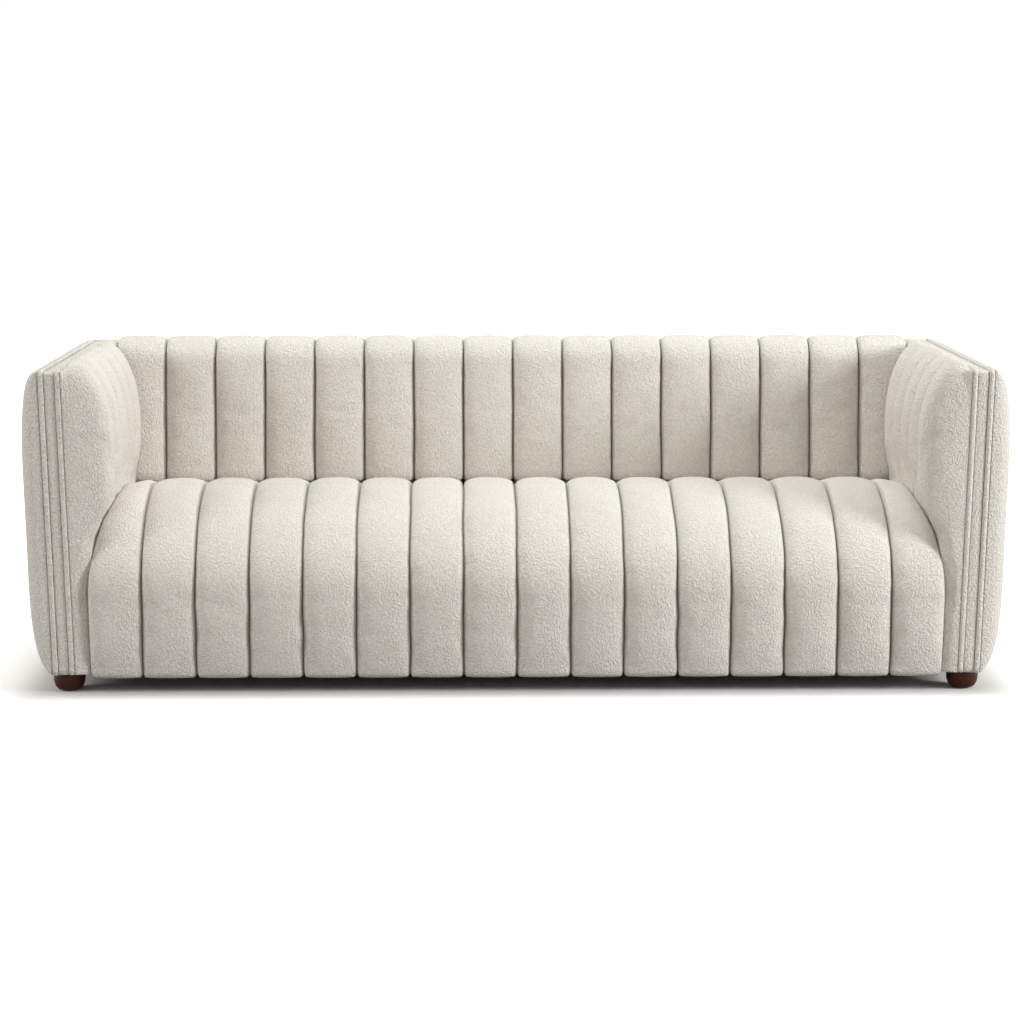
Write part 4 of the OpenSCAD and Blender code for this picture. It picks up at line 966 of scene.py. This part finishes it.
@dataclass
class BackCover(SpanCover):
    """The channelled inside back, rounded over the top to the band."""

    name: str = "back_cover"
    node: str = "back_channel_cover"
    middle: float = 0.5
    sewn_from: float = 2.9
    fullness: float = 0.94
    wave: float = 0.3
    share_d: float = 0.2
    wander: float = 0.0007
    seed: int = 13
    crest_power: float = 0.5
    crest_from: float = 0.8
    foot_d: float = 0.012
    foot_share: float = 1 / 18

    def line(self, share: Array, up: Num) -> tuple[Array, Array]:
        """Depth and height of the back's section.

        Args:
            share: 0 to 1 up the face, 1 to 2 over the rounding, 2 to 3 back to the band.
            up: 0 at the seams and 1 on the crowns.
        """
        face, turn, run = (hold(share - i) for i in range(3))
        face_z = mix(P.back_hem_z, P.back_bend_z, face)
        bend_y = P.face_y(P.back_bend_z)
        crown = up * mix(P.back_face_crown, P.back_top_crown, turn)
        foot = self.foot_d * hold(1.0 - face / self.foot_share) ** 2
        y = np.where(share < 1.0, P.face_y(face_z) - up * P.back_face_crown + foot,
                     bend_y - crown + (P.back_round_d + crown) * (1 - round_out(turn, P.curve_n)))
        z = np.where(share < 1.0, face_z,
                     P.back_bend_z + (P.back_round_h + crown) * round_up(turn, P.curve_n))
        rear_z = (mix(P.back_seam_z, P.pad_top_z - P.edge_t, run * run)
                  + up * P.back_top_crown * (1 - run))
        return (np.where(share > 2.0, mix(bend_y + P.back_round_d, P.back_rim_y, run), y),
                np.where(share > 2.0, rear_z, z))

    def surface(self, across: Array, share: Array) -> Array:
        """Places on the back's cover, shaped (columns, rows, 3)."""
        c, s = np.meshgrid(across, share, indexing="ij")
        power = mix(1.0, self.crest_power, smooth(s - self.crest_from))
        full = plump(c - np.floor(c)) ** power
        y, z = self.line(s, full * self.crowns(c, s))
        x = -P.seat_half + c * 2 * P.seat_half / P.channels
        return np.stack([x + self.drifting(c, s), y, z], axis=-1)


@dataclass
class ArmCover:
    """The inside of an arm: a front roll with a rounded nose, then rolls to the rear corner."""

    side: Side
    cleft: float = 0.010
    row_counts: tuple[int, ...] = (12, 8, 3, 16, 6)
    nose_steps: int = 8
    front_shares: tuple[float, ...] = (0.6, 0.7, 0.8, 0.88, 0.955)
    rear_shares: tuple[float, ...] = (0.0, 0.3, 0.65, 1.0)
    rear_start: float = 0.1
    skirt_clear: float = 0.015
    sewn_to: float = 0.5
    sewn_from: float = 4.8
    end_gap: float = 0.002
    lap: float = 0.045
    low_nose: float = 0.4
    rear_sink: float = 0.9

    def __post_init__(self) -> None:
        """Works out the pitch of the rolls, the rear edge of the front skirt and the rows."""
        self.pitch = (P.seat_depth - P.back_face_crown) / P.arm_rolls
        self.skirt_rear_y = P.front_rail_y - P.soft_gap
        # One unit of rows each for skirt, swell, flat, rounding and fall, from the bottom up.
        self.rows = np.concatenate([i + np.arange(n) / n for i, n in enumerate(self.row_counts)]
                                   + [[len(self.row_counts)]])

    def section(self, up: float, low_y: float, bottom_z: float) -> tuple[Array, Array, Array]:
        """Section of the inside arm.

        Args:
            up: 0 at a seam and 1 on a roll's crown.
            low_y: depth at which the section meets the seat.
            bottom_z: height of its lower edge.

        Returns:
            Distances across, heights, and the heights at the edge seam that they come from.
        """
        rows = self.rows
        skirt, rise, flat, turn, fall = (hold(rows - i) for i in range(5))
        face = P.arm_face_x + P.arm_seam_d * (1 - up)
        top_z = P.arm_crest_z - P.arm_top_seam_d * (1 - up)
        low_z = P.seat_crown_z(low_y) + P.soft_gap
        x = mix(P.seat_end(low_y) + self.end_gap, face, smooth(rise))
        z = (mix(bottom_z, low_z, skirt) + rise * P.arm_swell_h
             + flat * (P.arm_bend_z - low_z - P.arm_swell_h))
        angle = np.radians(90.0 * turn)
        x = np.where(rows > 3, P.arm_crest_x - (P.arm_crest_x - face) * np.cos(angle), x)
        z = np.where(rows > 3, mix(P.arm_bend_z, top_z, np.sin(angle)), z)
        rim_x = P.arm_x(P.pad_top_z, -P.seam_half) - P.edge_t
        x = np.where(rows > 4, mix(P.arm_crest_x, rim_x, fall), x)
        z = np.where(rows > 4, mix(top_z, P.pad_top_z, fall * fall), z)
        return x, z, np.where(rows > 3, mix(P.arm_bend_z, P.pad_top_z, (rows - 3) / 2), z)

    def column(self, place: float) -> Array:
        """Places of one column of the net, from 0 at the front seam, one unit to a roll."""
        nose = min(place * self.pitch / P.arm_nose_d, 1.0)
        out = float(arc(nose, P.nose_n))
        up = 1.0 if place < 0.5 else float(plump(place - int(place)))
        low_y = P.seam_y + place * self.pitch
        seat_y = min(low_y, P.seam_y + P.seat_depth)
        lap_z = min(P.tack_rail_z, float(P.seat_crown_z(seat_y)) - self.lap)
        bottom_z = P.arm_hem_z if low_y < self.skirt_rear_y else max(P.seat_hem_z, lap_z)
        x, z, seam_z = self.section(up, seat_y, bottom_z)
        last = P.arm_rolls - 1
        if min(int(place), P.arm_rolls) < last:
            pull = mix(self.low_nose, 1.0, smooth(self.rows - 1.0)) if nose < 1.0 else 1.0
            y = P.seam_y + (low_y - P.seam_y) * pull * np.ones_like(z)
        else:
            # The last roll ends just ahead of the back's crowns.
            end_y = P.face_y(np.maximum(z, P.back_hem_z)) - P.back_face_crown - P.soft_gap
            y = mix(P.seam_y + last * self.pitch, end_y, place - last)
        z = mix(seam_z, z, out)
        return np.stack([mix(P.arm_x(z, -P.seam_half) - P.edge_t, x, out), y, z], axis=-1)

    def rear(self, last: Array, share: float) -> Array:
        """A column between the last seam and the rear corner, beside and under the back."""
        out = mix(last, self.column(P.arm_rolls - 0.5), min(1.0, 3 * share))
        out[:, 0] = np.where(out[:, 2] > P.back_hem_z,
                             np.maximum(out[:, 0], P.seat_half + P.soft_gap), last[:, 0])
        high = out[:, 2] > P.frame_top_z
        out[high, 2] = mix(out[high, 2], P.pad_top_z, self.rear_sink * share * share)
        end_y = np.where(high, P.back_rim_y, P.seat_rear_y)
        out[:, 1] = mix(last[:, 1] + P.fit_gap, end_y, share)
        return out

    def seam_distance(self, place: Array) -> Array:
        """Distance from the nearest seam between two rolls."""
        between = (place > 0.5) & (place < P.arm_rolls)
        return np.where(between, off_seam(place), 1.0) * self.pitch

    def build(self) -> None:
        """Makes the cover."""
        nose = [P.arm_nose_d / self.pitch * (1 - float(round_out(a / self.nose_steps, P.nose_n)))
                for a in range(self.nose_steps)]
        body = [nose[-1] + 0.08, *self.front_shares]
        body += [float(c) for c in channel_places(P.arm_rolls) if c >= 1.0]
        skirt = (self.skirt_rear_y - P.seam_y) / self.pitch
        places = sorted([c for c in nose + body if abs(c - skirt) > self.skirt_clear]
                        + [skirt - 1e-4, skirt + 1e-4])
        columns = [self.column(c) for c in places]
        columns += [self.rear(columns[-1], s) for s in self.rear_shares]
        beside = P.arm_rolls + self.rear_start
        across = np.array(places + [beside + s for s in self.rear_shares])

        def sharp(c: float) -> bool:
            on_seam = abs(c - round(c, 1)) < 1e-6 and abs(c - round(c)) < 0.11
            return 0.5 < c < beside + 0.1 and on_seam or abs(c - skirt) < 1e-3

        name = f"{self.side.word}_arm_cover"
        made = net(np.array(columns), across, self.rows, name, sharp, turned=True)
        c, s = kept_place(made, "across"), kept_place(made, "along")
        swell(made, (off_seam(c) < SEWN) | (c > P.arm_rolls) | (np.abs(c - skirt) < SEWN)
              | (s < self.sewn_to) | (s > self.sewn_from))
        refine(made, 2)
        sink_seams(made, self.seam_distance, 1, self.cleft)
        back_flat(made, lambda v: (P.arm_x(v.z, -P.seam_half), v.y, v.z))
        mirror_to(made, self.side)
        hand_over(made, "boucle", f"{self.side.word}_arm_channel_cover", fill=0.8)


@dataclass
class OutsidePad:
    """A padded outside panel: the outside of an arm, or the outside back."""

    rows: int = 46
    turns: int = 10
    flats: int = 44
    round_d: float = 0.060
    top_rise: float = 0.010
    top_share: float = 0.15
    crowding: float = 0.7
    low_n: float = 5.0
    high_n: float = 4.0

    def panel(self, start: float, end: float, flats: int, uneven: float, wave: float,
              seed: int) -> tuple[Array, ...]:
        """Lays out a pad.

        Args:
            start: its first place along.
            end: its last place along.
            flats: columns between its rounded ends.
            uneven: how uneven its thickness is.
            wave: length of its waves.
            seed: chooses the waves.

        Returns:
            Places along, shares of the height, and tables of places along, shares of the height,
            heights, the rounded ends' fullness and shares of the full thickness.
        """
        turn = np.linspace(0.0, 1.0, self.turns + 1)
        near = self.round_d * (1.0 - round_out(turn, P.nose_n))
        middle = np.linspace(start + self.round_d, end - self.round_d, flats)[1:-1]
        full = round_up(turn, P.nose_n)
        place = np.concatenate([start + near, middle, (end - near)[::-1]])
        full = np.concatenate([full, np.ones_like(middle), full[::-1]])
        up = np.linspace(0.0, 1.0, self.rows)
        up = mix(up, 0.5 - 0.5 * np.cos(math.pi * up), self.crowding)
        f, t = np.meshgrid(full, up, indexing="ij")
        run, _ = np.meshgrid(place, up, indexing="ij")
        z = mix(P.arm_hem_z, P.pad_top_z, t)
        soft = 1.0 + uneven * waver(run, z, wave, seed) * np.sin(math.pi * t)
        rise = pillow(t, np.where(t < 0.5, self.low_n, self.high_n))
        return place, up, run, t, z, f, f * rise * np.minimum(soft, 1.0)

    def finish(self, made: Object, behind: Callable[[Vector], Spot], node: str) -> None:
        """Refines a pad, closes it and hands it over."""
        refine(made)
        back_flat(made, behind)
        mirror_to(made, Side.LEFT if node.startswith("left") else Side.RIGHT)
        hand_over(made, "boucle", node, fill=0.7)

    def build_arm(self, side: Side) -> None:
        """Makes the pad on the outside of an arm."""
        place, up, y, t, z, f, thick = self.panel(P.seam_y, P.back_edge_y - P.soft_gap, self.flats,
                                                  0.02, 0.5, 21)
        x = P.arm_x(z, P.seam_half + mix(P.edge_t, P.arm_pad_bulge, thick))
        z = z + self.top_rise * f * np.sin(math.pi * hold((t - 1.0) / self.top_share + 1.0))
        made = net(np.stack([x, y, z], axis=-1), place, up, f"{side.word}_outside_pad")
        self.finish(made, lambda v: (P.arm_x(v.z, P.seam_half), v.y, v.z),
                    f"{side.word}_outside_arm_pad")

    def build_back(self) -> None:
        """Makes the pad on the outside of the back."""
        half = P.arm_x(P.base_z, P.seam_half)
        place, up, x, _, z, _, thick = self.panel(-half, half, 2 * self.flats, 0.05, 0.7, 23)
        y = P.back_edge_y + mix(P.edge_t, P.back_pad_bulge, thick)
        x = x / half * (P.arm_x(z, P.seam_half) - P.soft_gap)
        made = net(np.stack([x, y, z], axis=-1), place, up, "back_outside_pad", turned=True)
        self.finish(made, lambda v: (v.x, P.back_edge_y, v.z), "outside_back_pad")


# Trim and feet


@dataclass
class Trim:
    """The flat band between two welts that runs up the arm fronts and round the top."""

    sides: int = 14
    step: float = 0.012
    corner_steps: int = 10
    uneven: float = 0.0003
    wave: float = 0.05
    band_edge: float = 0.0032
    band_crown: float = 0.0008

    def along_arm(self, off: float, end_y: float) -> list[Matrix]:
        """Stations up the arm's front, round its top corner and back along its top.

        Args:
            off: distance of the trim's middle from the frame's face.
            end_y: where it stops at the rear.

        Returns:
            The stations, with X across the trim and Y outwards.
        """
        low, tall = ((z - P.base_z) / math.cos(P.splay) for z in (P.arm_hem_z, P.frame_top_z))
        front = P.post_front_y
        stations = [(front - off, w, 0.0)
                    for w in np.linspace(low, tall, int((tall - low) / self.step) + 1)]
        stations += [(front - off * math.cos(a), tall + off * math.sin(a), a)
                     for a in np.linspace(0.0, math.pi / 2, self.corner_steps + 1)[1:-1]]
        stations += [(y, tall + off, math.pi / 2)
                     for y in np.linspace(front, end_y, int((end_y - front) / self.step) + 1)]
        foot = Matrix.Translation((P.arm_base_x, 0, P.base_z)) @ Matrix.Rotation(P.splay, 4, "Y")
        facing = Matrix.Rotation(math.pi, 4, "Z")
        return [foot @ Matrix.Translation((0, y, w)) @ Matrix.Rotation(-a, 4, "X") @ facing
                for y, w, a in stations]

    def along_back(self, y: float, z: float, reach: float) -> list[Matrix]:
        """Stations across the back's top, from one side's reach to the other's."""
        turn = Matrix(((0, 0, 1, 0), (-1, 0, 0, 0), (0, 1, 0, 0), (0, 0, 0, 1)))
        return [Matrix.Translation((x, y, z)) @ turn
                for x in np.linspace(-reach, reach, int(2 * reach / self.step))]

    def cord_ring(self, u: float = 0.0) -> list[Vector]:
        """Round section of a welt, u across from the band's middle, inwards on an arm."""
        return [Vector((u + P.welt_r * math.cos(a), P.welt_r * math.sin(a), 0.0))
                for a in np.linspace(0, math.tau, self.sides, endpoint=False)]

    def band_ring(self) -> list[Vector]:
        """Section of the band: flat below, with rounded edges and a slight crown."""
        half, thick, edge = P.band_w / 2, P.band_t / 2, self.band_edge
        right = [(half - edge * (1 - math.cos(a)),
                  thick - edge * (1 - math.sin(a)) - self.band_crown)
                 for a in np.linspace(0.0, math.pi / 2, 5)]
        left = [(-x, y) for x, y in reversed(right)]
        ring = [(-half, -thick), (half, -thick), *right, (0.0, thick), *left]
        return [Vector((x, y, 0.0)) for x, y in ring]

    def lay(self, name: str, node: str, ring: Sequence[Vector], stations: Sequence[Matrix],
            seed: int, side: Side = Side.RIGHT) -> None:
        """Makes one run of trim, slightly uneven along its length."""
        bm = bmesh.new()
        sweep(bm, ring, stations)
        made = object_from(bm, name, Finishes.BOUCLE)
        places = table(made.data.vertices)
        run = places[:, 1] - places[:, 2] + places[:, 0]
        wave = waver(run, places[:, 2] * 0.3, self.wave, seed)[:, None]
        pinch = self.uneven * (0.6 + 0.6 * wave)
        move_corners(made, places - table(made.data.vertices, "normal") * pinch)
        mirror_to(made, side)
        hand_over(made, "boucle", node)

    def build_arm(self, side: Side) -> None:
        """Makes an arm's band and both its welts."""
        cord, end = P.welt_r + P.fit_gap, P.back_mid_y - P.welt_r - P.soft_gap
        runs = (("inner_welt", self.cord_ring(P.welt_u), cord, end - P.welt_u),
                ("outer_welt", self.cord_ring(-P.welt_u), cord, end + P.welt_u),
                ("band", self.band_ring(), P.band_t / 2 + P.fit_gap, P.back_mid_y + P.band_w / 2))
        for seed, (word, ring, off, end_y) in enumerate(runs, 31):
            self.lay(f"{side.word}_{word}", f"{side.word}_arm_{word}", ring,
                     self.along_arm(off, end_y), seed, side)

    def build_back(self) -> None:
        """Makes the band and the welts along the back's top."""
        base, inside = P.frame_top_z + P.fit_gap, -P.band_w / 2 - P.soft_gap
        cord_z = base + P.welt_r
        runs = (("inner_welt", self.cord_ring(), P.back_mid_y - P.welt_u, cord_z,
                 P.arm_x(cord_z, inside) - P.soft_gap),
                ("outer_welt", self.cord_ring(), P.back_mid_y + P.welt_u, cord_z,
                 P.arm_x(cord_z, P.welt_u + P.welt_r) - P.soft_gap),
                ("band", self.band_ring(), P.back_mid_y, base + P.band_t / 2,
                 P.arm_x(base, inside)))
        for seed, (word, ring, *place) in enumerate(runs, 41):
            self.lay(f"top_{word}", f"back_{word}", ring, self.along_back(*place), seed)


@dataclass
class Feet:
    """The four turned bun feet."""

    wide: float = 0.070
    base_wide: float = 0.040
    top_wide: float = 0.062
    full_z: float = 0.030
    glide_t: float = 0.0025
    bore_d: float = 0.008
    bore_depth: float = 0.026
    front_inset: float = 0.060
    rear_inset: float = 0.062
    side_inset: float = 0.004
    turned_steps: int = 72
    edge_r: float = 0.0012
    sharp_over: float = 40.0

    def __post_init__(self) -> None:
        """Works out where the feet stand."""
        self.x = P.arm_base_x - self.side_inset
        self.depths = {"front": P.seam_y + self.front_inset,
                       "rear": P.frame_rear_y - self.rear_inset}

    def profile(self) -> list[tuple[float, float]]:
        """Half widths and heights, from the floor up and down into the bolt's bore."""
        line = [(0.0, self.glide_t), (self.base_wide / 2 - self.edge_r, self.glide_t)]
        for wide, z, turns in ((self.base_wide, self.glide_t, np.linspace(8.0, 90.0, 12)),
                               (self.top_wide, P.foot_h, np.linspace(75.0, 6.0, 6))):
            line += [(mix(wide, self.wide, math.sin(a)) / 2, mix(self.full_z, z, math.cos(a)))
                     for a in np.radians(turns)]
        bore, deep = self.bore_d / 2 + P.fit_gap, P.foot_h - self.bore_depth - P.fit_gap
        return line + [(self.top_wide / 2 - self.edge_r, P.foot_h), (bore, P.foot_h),
                       (bore, deep), (0.0, deep)]

    def build(self) -> None:
        """Makes the feet."""
        for side in Side:
            for end, y in self.depths.items():
                x = side.value * self.x
                bm = bmesh.new()
                line = [bm.verts.new((x + r, y, z)) for r, z in self.profile()]
                edges = [bm.edges.new(pair) for pair in zip(line, line[1:])]
                bmesh.ops.spin(bm, geom=line + edges, cent=(x, y, 0), axis=(0, 0, 1),
                               angle=math.tau, steps=self.turned_steps, use_merge=True)
                bmesh.ops.remove_doubles(bm, verts=bm.verts[:], dist=0.01 * MM)
                face_out(bm)
                made = object_from(bm, f"{end}_{side.word}_bun_foot", Finishes.FOOT)
                made.data.set_sharp_from_angle(angle=math.radians(self.sharp_over))
                hand_over(made, "foot_wood", f"foot_{end}_{side.word}")


# Soft pieces inside


@dataclass
class Inside:
    """Foams, felt, webbing and dust cover: what the covers hide."""

    frame: Mapping[str, Object]
    edge_r: float = 0.004
    flat_under: float = 1.0
    round_over: float = 50.0
    sharp_over: float = 45.0
    felt_t: float = 0.004
    strap_w: float = 0.050
    upright: int = 12
    upright_stations: int = 9
    crossing: int = 3
    crossing_stations: int = 37
    dust_t: float = 0.001
    dust_grid: tuple[int, int] = (60, 24)
    dust_margin: float = 0.006
    dust_sag: float = 0.003
    sag_power: float = 0.7

    def softened(self, node: str, name: str, finish: Finishes, radius: float) -> Object:
        """Copies a solid, merges its triangles, rounds its edges and gives it a soft finish.

        Args:
            node: the solid to copy.
            name: the new piece's name.
            finish: its finish.
            radius: how far the edges are rounded.
        """
        bm = opened(self.frame[node])
        bmesh.ops.remove_doubles(bm, verts=bm.verts[:], dist=0.005 * MM)
        bmesh.ops.dissolve_limit(bm, angle_limit=math.radians(self.flat_under),
                                 verts=bm.verts[:], edges=bm.edges[:])
        face_out(bm)
        edges = [e for e in bm.edges if len(e.link_faces) == 2
                 and e.calc_face_angle() > math.radians(self.round_over)]
        bmesh.ops.bevel(bm, geom=edges, offset=radius, offset_type="OFFSET", affect="EDGES",
                        segments=3, profile=0.5, material=-1, clamp_overlap=True)
        bmesh.ops.triangulate(bm, faces=bm.faces[:])
        made = object_from(bm, name, finish)
        made.data.set_sharp_from_angle(angle=math.radians(self.sharp_over))
        return made

    def build_foams(self) -> None:
        """Makes the seat's, back's and arms' foams."""
        for node in ("seat_foam", "front_roll_foam", "back_foam", "left_arm_foam",
                     "right_arm_foam"):
            made = self.softened(node, f"{node}_block", Finishes.FOAM, self.edge_r)
            hand_over(made, "foam", node, fill=1.0)

    def build_felt(self) -> None:
        """Makes the felt over the springs, and works out its length along their arc from its volume.
        """
        made = self.softened("spring_felt", "spring_felt_sheet", Finishes.FELT, self.felt_t / 4)
        hand_over(made, "felt", "spring_felt")
        low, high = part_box("spring_felt")
        width = high.x - low.x
        bm = opened(self.frame["spring_felt"])
        length = abs(bm.calc_volume()) / (self.felt_t * width)
        bm.free()

    def build_webbing(self) -> None:
        """Makes the elastic straps of the back: upright ones, and crossing ones before them."""
        reach, half = P.seat_half - P.cover_t, P.strap_t / 2
        low_z, high_z = P.tack_rail_z + P.fit_gap, P.frame_top_z - P.strap_t
        upright_y = P.frame_front_y - P.fit_gap - half
        bm = bmesh.new()
        for x in np.linspace(-reach + self.strap_w / 2, reach - self.strap_w / 2, self.upright):
            heights = np.linspace(low_z, high_z, self.upright_stations)
            sweep(bm, self.strap_ring(), [Matrix.Translation((x, upright_y, z)) for z in heights])
        turn = Matrix(((0, 0, 1, 0), (0, 1, 0, 0), (-1, 0, 0, 0), (0, 0, 0, 1)))
        for z in np.linspace(low_z, high_z, self.crossing + 2)[1:-1]:
            sweep(bm, self.strap_ring(), [Matrix.Translation((x, P.webbing_y + half, z)) @ turn
                                          for x in np.linspace(-reach, reach,
                                                               self.crossing_stations)])
        hand_over(object_from(bm, "webbing_straps", Finishes.WEBBING), "webbing", "back_webbing")

    def strap_ring(self) -> list[Vector]:
        """Section of a strap: thin, with rounded edges."""
        r = P.strap_t / 2
        half = self.strap_w / 2 - r
        return [Vector((side * (half + r * math.sin(a)), -side * r * math.cos(a), 0.0))
                for side in (1, -1) for a in np.linspace(0.0, math.pi, 5)]

    def build_dust_cover(self) -> None:
        """Makes the black cloth under the frame, cut out round the feet."""
        feet = Feet()
        x = P.arm_x(P.base_z, P.arm_frame_t / 2 - self.dust_margin)
        y0, y1 = P.front_rail_y, P.frame_rear_y - self.dust_margin
        mid, reach = (y0 + y1) / 2, (y1 - y0) / 2
        bm = bmesh.new()
        columns, rows = self.dust_grid
        bmesh.ops.create_grid(bm, x_segments=columns, y_segments=rows, size=1.0)
        bmesh.ops.scale(bm, vec=(x, reach, 1.0), verts=bm.verts[:])
        bmesh.ops.translate(bm, vec=(0, mid, 0), verts=bm.verts[:])
        half = (feet.wide + P.foot_plate_t) / 2
        cuts = [((0, y + out, 0), (0, 1, 0)) for y in feet.depths.values() for out in (-half, half)]
        cuts += [((side * (feet.x - half), 0, 0), (1, 0, 0)) for side in (-1, 1)]
        for place, facing in cuts:
            bmesh.ops.bisect_plane(bm, geom=bm.verts[:] + bm.edges[:] + bm.faces[:],
                                   plane_co=place, plane_no=facing)
        middles = {f: f.calc_center_median() for f in bm.faces}
        notches = [f for f, at in middles.items() if abs(at.x) > feet.x - half
                   and any(abs(at.y - y) < half for y in feet.depths.values())]
        bmesh.ops.delete(bm, geom=notches, context="FACES")
        area = sum(f.calc_area() for f in bm.faces)
        for v in bm.verts:
            across, along = v.co.x / x, (v.co.y - mid) / reach
            sag = max(0.0, (1 - across ** 2) * (1 - along ** 2)) ** self.sag_power
            v.co.z = P.base_z - P.fit_gap - self.dust_t / 2 - self.dust_sag * sag
        face_out(bm)
        made = object_from(bm, "dust_cloth_sheet", Finishes.DUST_CLOTH)
        thick = made.modifiers.new("thick", "SOLIDIFY")
        thick.thickness, thick.offset = self.dust_t * 0.9, 0.0
        hand_over(made, "dust_cloth", "dust_cover")


def both(*stems: str) -> tuple[str, ...]:
    """The left and the right solid of each kind."""
    return tuple(f"{side.word}_{stem}" for stem in stems for side in Side)


CAD_FINISHES = {
    Finishes.RAIL_WOOD: ("front_rail", "rear_rail", "back_sill", "back_tack_rail",
                         "back_top_rail", "corner_blocks"),
    Finishes.SIDE_WOOD: ("seat_stretchers", *both("side_rail", "arm_top_rail", "arm_tack_rail")),
    Finishes.POST_WOOD: ("back_mid_posts", *both("back_post", "arm_front_post")),
    Finishes.HARDBOARD: ("outside_back_board", *both("arm_panel", "outside_arm_board")),
    Finishes.SPRING_STEEL: ("seat_springs", "tie_wires", "spring_clips_front",
                            "spring_clips_rear"),
    Finishes.ZINC: ("foot_bolts", "foot_plates", "foot_plate_screws", "corner_block_screws"),
    Finishes.NYLON: ("foot_glides",),
}


def dress_frame(frame: Mapping[str, Object]) -> None:
    """Gives each solid that stays its finish."""
    for finish, nodes in CAD_FINISHES.items():
        for solid in map(frame.get, nodes):
            if not solid.material_slots:
                solid.data.materials.append(None)
            for place in solid.material_slots:
                place.material = finish.value.material()
            LOG.info("%s: %s", solid.name, finish.value.name)


# Studio


@dataclass
class Studio:
    """White floor and surround, soft lamps, and the camera."""

    floor_half: float = 30.0
    floor_white: float = 0.95
    floor_bounce: float = 0.4
    covered: Spot = (1.03, 0.42, 0.0)
    glow: float = 0.3
    near_glow: tuple[float, float] = (0.0, 0.12)
    far_glow: tuple[float, float] = (0.3, 2.2)
    room_light: float = 0.48
    room_tint: tuple[float, float, float] = (1.0, 0.955, 0.87)
    lamps: tuple[tuple[str, Spot, float, float], ...] = (
        ("top softbox", (0.0, 0.45, 4.2), 2.4, 100.0),
        ("right softbox", (4.8, -2.4, 2.0), 1.4, 194.0),
        ("left softbox", (-5.0, -2.0, 2.0), 1.4, 76.0),
        ("rear softbox", (0.0, 3.6, 1.0), 1.4, 30.0),
    )
    aim: Spot = (0.0, 0.0, 0.35)
    camera_place: Spot = (-0.101, -6.381, 1.254)
    pitch_down: float = 8.14
    yaw_right: float = 0.86
    lens: float = 97.5

    def seen(self, nodes: Tree) -> NodeSocket:
        """1 for rays that show the surround: the camera's own, mirrored and passed through."""
        path = nodes.add("LightPath").outputs
        both_ways = nodes.math("MAXIMUM", path["Is Camera Ray"], path["Is Glossy Ray"])
        return nodes.math("MAXIMUM", both_ways, path["Is Transmission Ray"])

    def build_floor(self) -> None:
        """Makes the floor, which keeps the sofa's shadow."""
        bm = bmesh.new()
        bmesh.ops.create_grid(bm, x_segments=1, y_segments=1, size=self.floor_half)
        mesh = bpy.data.meshes.new("studio_floor")
        bm.to_mesh(mesh)
        bm.free()
        look = bpy.data.materials.new("white studio floor")
        nodes = empty_tree(look)
        seen = self.seen(nodes)
        white = nodes.math("MULTIPLY_ADD", seen, self.floor_white - self.floor_bounce,
                           self.floor_bounce)
        soft = nodes.add("BsdfDiffuse", {"Color": white})
        away = nodes.vector("ABSOLUTE", nodes.place())
        away = nodes.vector("MAXIMUM", nodes.vector("SUBTRACT", away, self.covered), (0, 0, 0))
        far = nodes.add("VectorMath", {0: away}, operation="LENGTH").outputs["Value"]
        share = nodes.math("MULTIPLY_ADD", nodes.ramp(far, *self.near_glow), self.glow,
                           nodes.times(nodes.ramp(far, *self.far_glow), 1.0 - self.glow))
        glow = nodes.add("Emission", {"Strength": nodes.times(seen, share)})
        total = nodes.add("AddShader", {0: soft.outputs[0], 1: glow.outputs[0]})
        nodes.add("OutputMaterial", {"Surface": total.outputs[0]})
        mesh.materials.append(look)
        new_object("studio_floor", mesh)

    def build_world(self) -> None:
        """Makes the surround: white to look at, and a soft even light."""
        world = bpy.data.worlds.new("white room")
        nodes = empty_tree(world)
        seen = self.seen(nodes)
        strength = nodes.math("MULTIPLY_ADD", seen, 1.0 - self.room_light, self.room_light)
        tint = nodes.blend(seen, plain(self.room_tint), (1.0, 1.0, 1.0, 1.0))
        light = nodes.add("Background", {"Color": tint, "Strength": strength})
        nodes.add("OutputWorld", {"Surface": light.outputs[0]})
        bpy.context.scene.world = world

    def build_lamps(self) -> None:
        """Hangs the soft lamps."""
        for name, place, size, power in self.lamps:
            data = bpy.data.lights.new(name, "AREA")
            data.shape, data.size, data.energy = "SQUARE", size, power
            lamp = new_object(name, data)
            lamp.visible_camera = False
            turn = (Vector(self.aim) - Vector(place)).to_track_quat("-Z", "Y")
            lamp.matrix_world = Matrix.Translation(place) @ turn.to_matrix().to_4x4()

    def build_camera(self) -> None:
        """Sets the camera at the photograph's place."""
        data = bpy.data.cameras.new("camera")
        data.sensor_width, data.lens = 36.0, self.lens
        camera = new_object("camera", data)
        camera.location = self.camera_place
        camera.rotation_euler = (math.radians(90.0 - self.pitch_down), 0.0,
                                 -math.radians(self.yaw_right))
        bpy.context.scene.camera = camera

    def build(self) -> None:
        """Makes the whole studio."""
        self.build_floor()
        self.build_world()
        self.build_lamps()
        self.build_camera()
        bpy.context.scene.view_settings.view_transform = "Standard"


def main() -> None:
    """Builds the dressed sofa and its studio."""
    logging.basicConfig(level=logging.INFO, format="%(name)s: %(message)s")
    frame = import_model()["nodes"]
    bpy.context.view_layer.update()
    Studio().build()
    SeatCover().build()
    BackCover().build()
    for side in Side:
        ArmCover(side).build()
        OutsidePad().build_arm(side)
        Trim().build_arm(side)
    OutsidePad().build_back()
    Trim().build_back()
    Feet().build()
    inside = Inside(frame)
    inside.build_foams()
    inside.build_felt()
    inside.build_webbing()
    inside.build_dust_cover()
    dress_frame(frame)


if __name__ == "__main__":
    main()
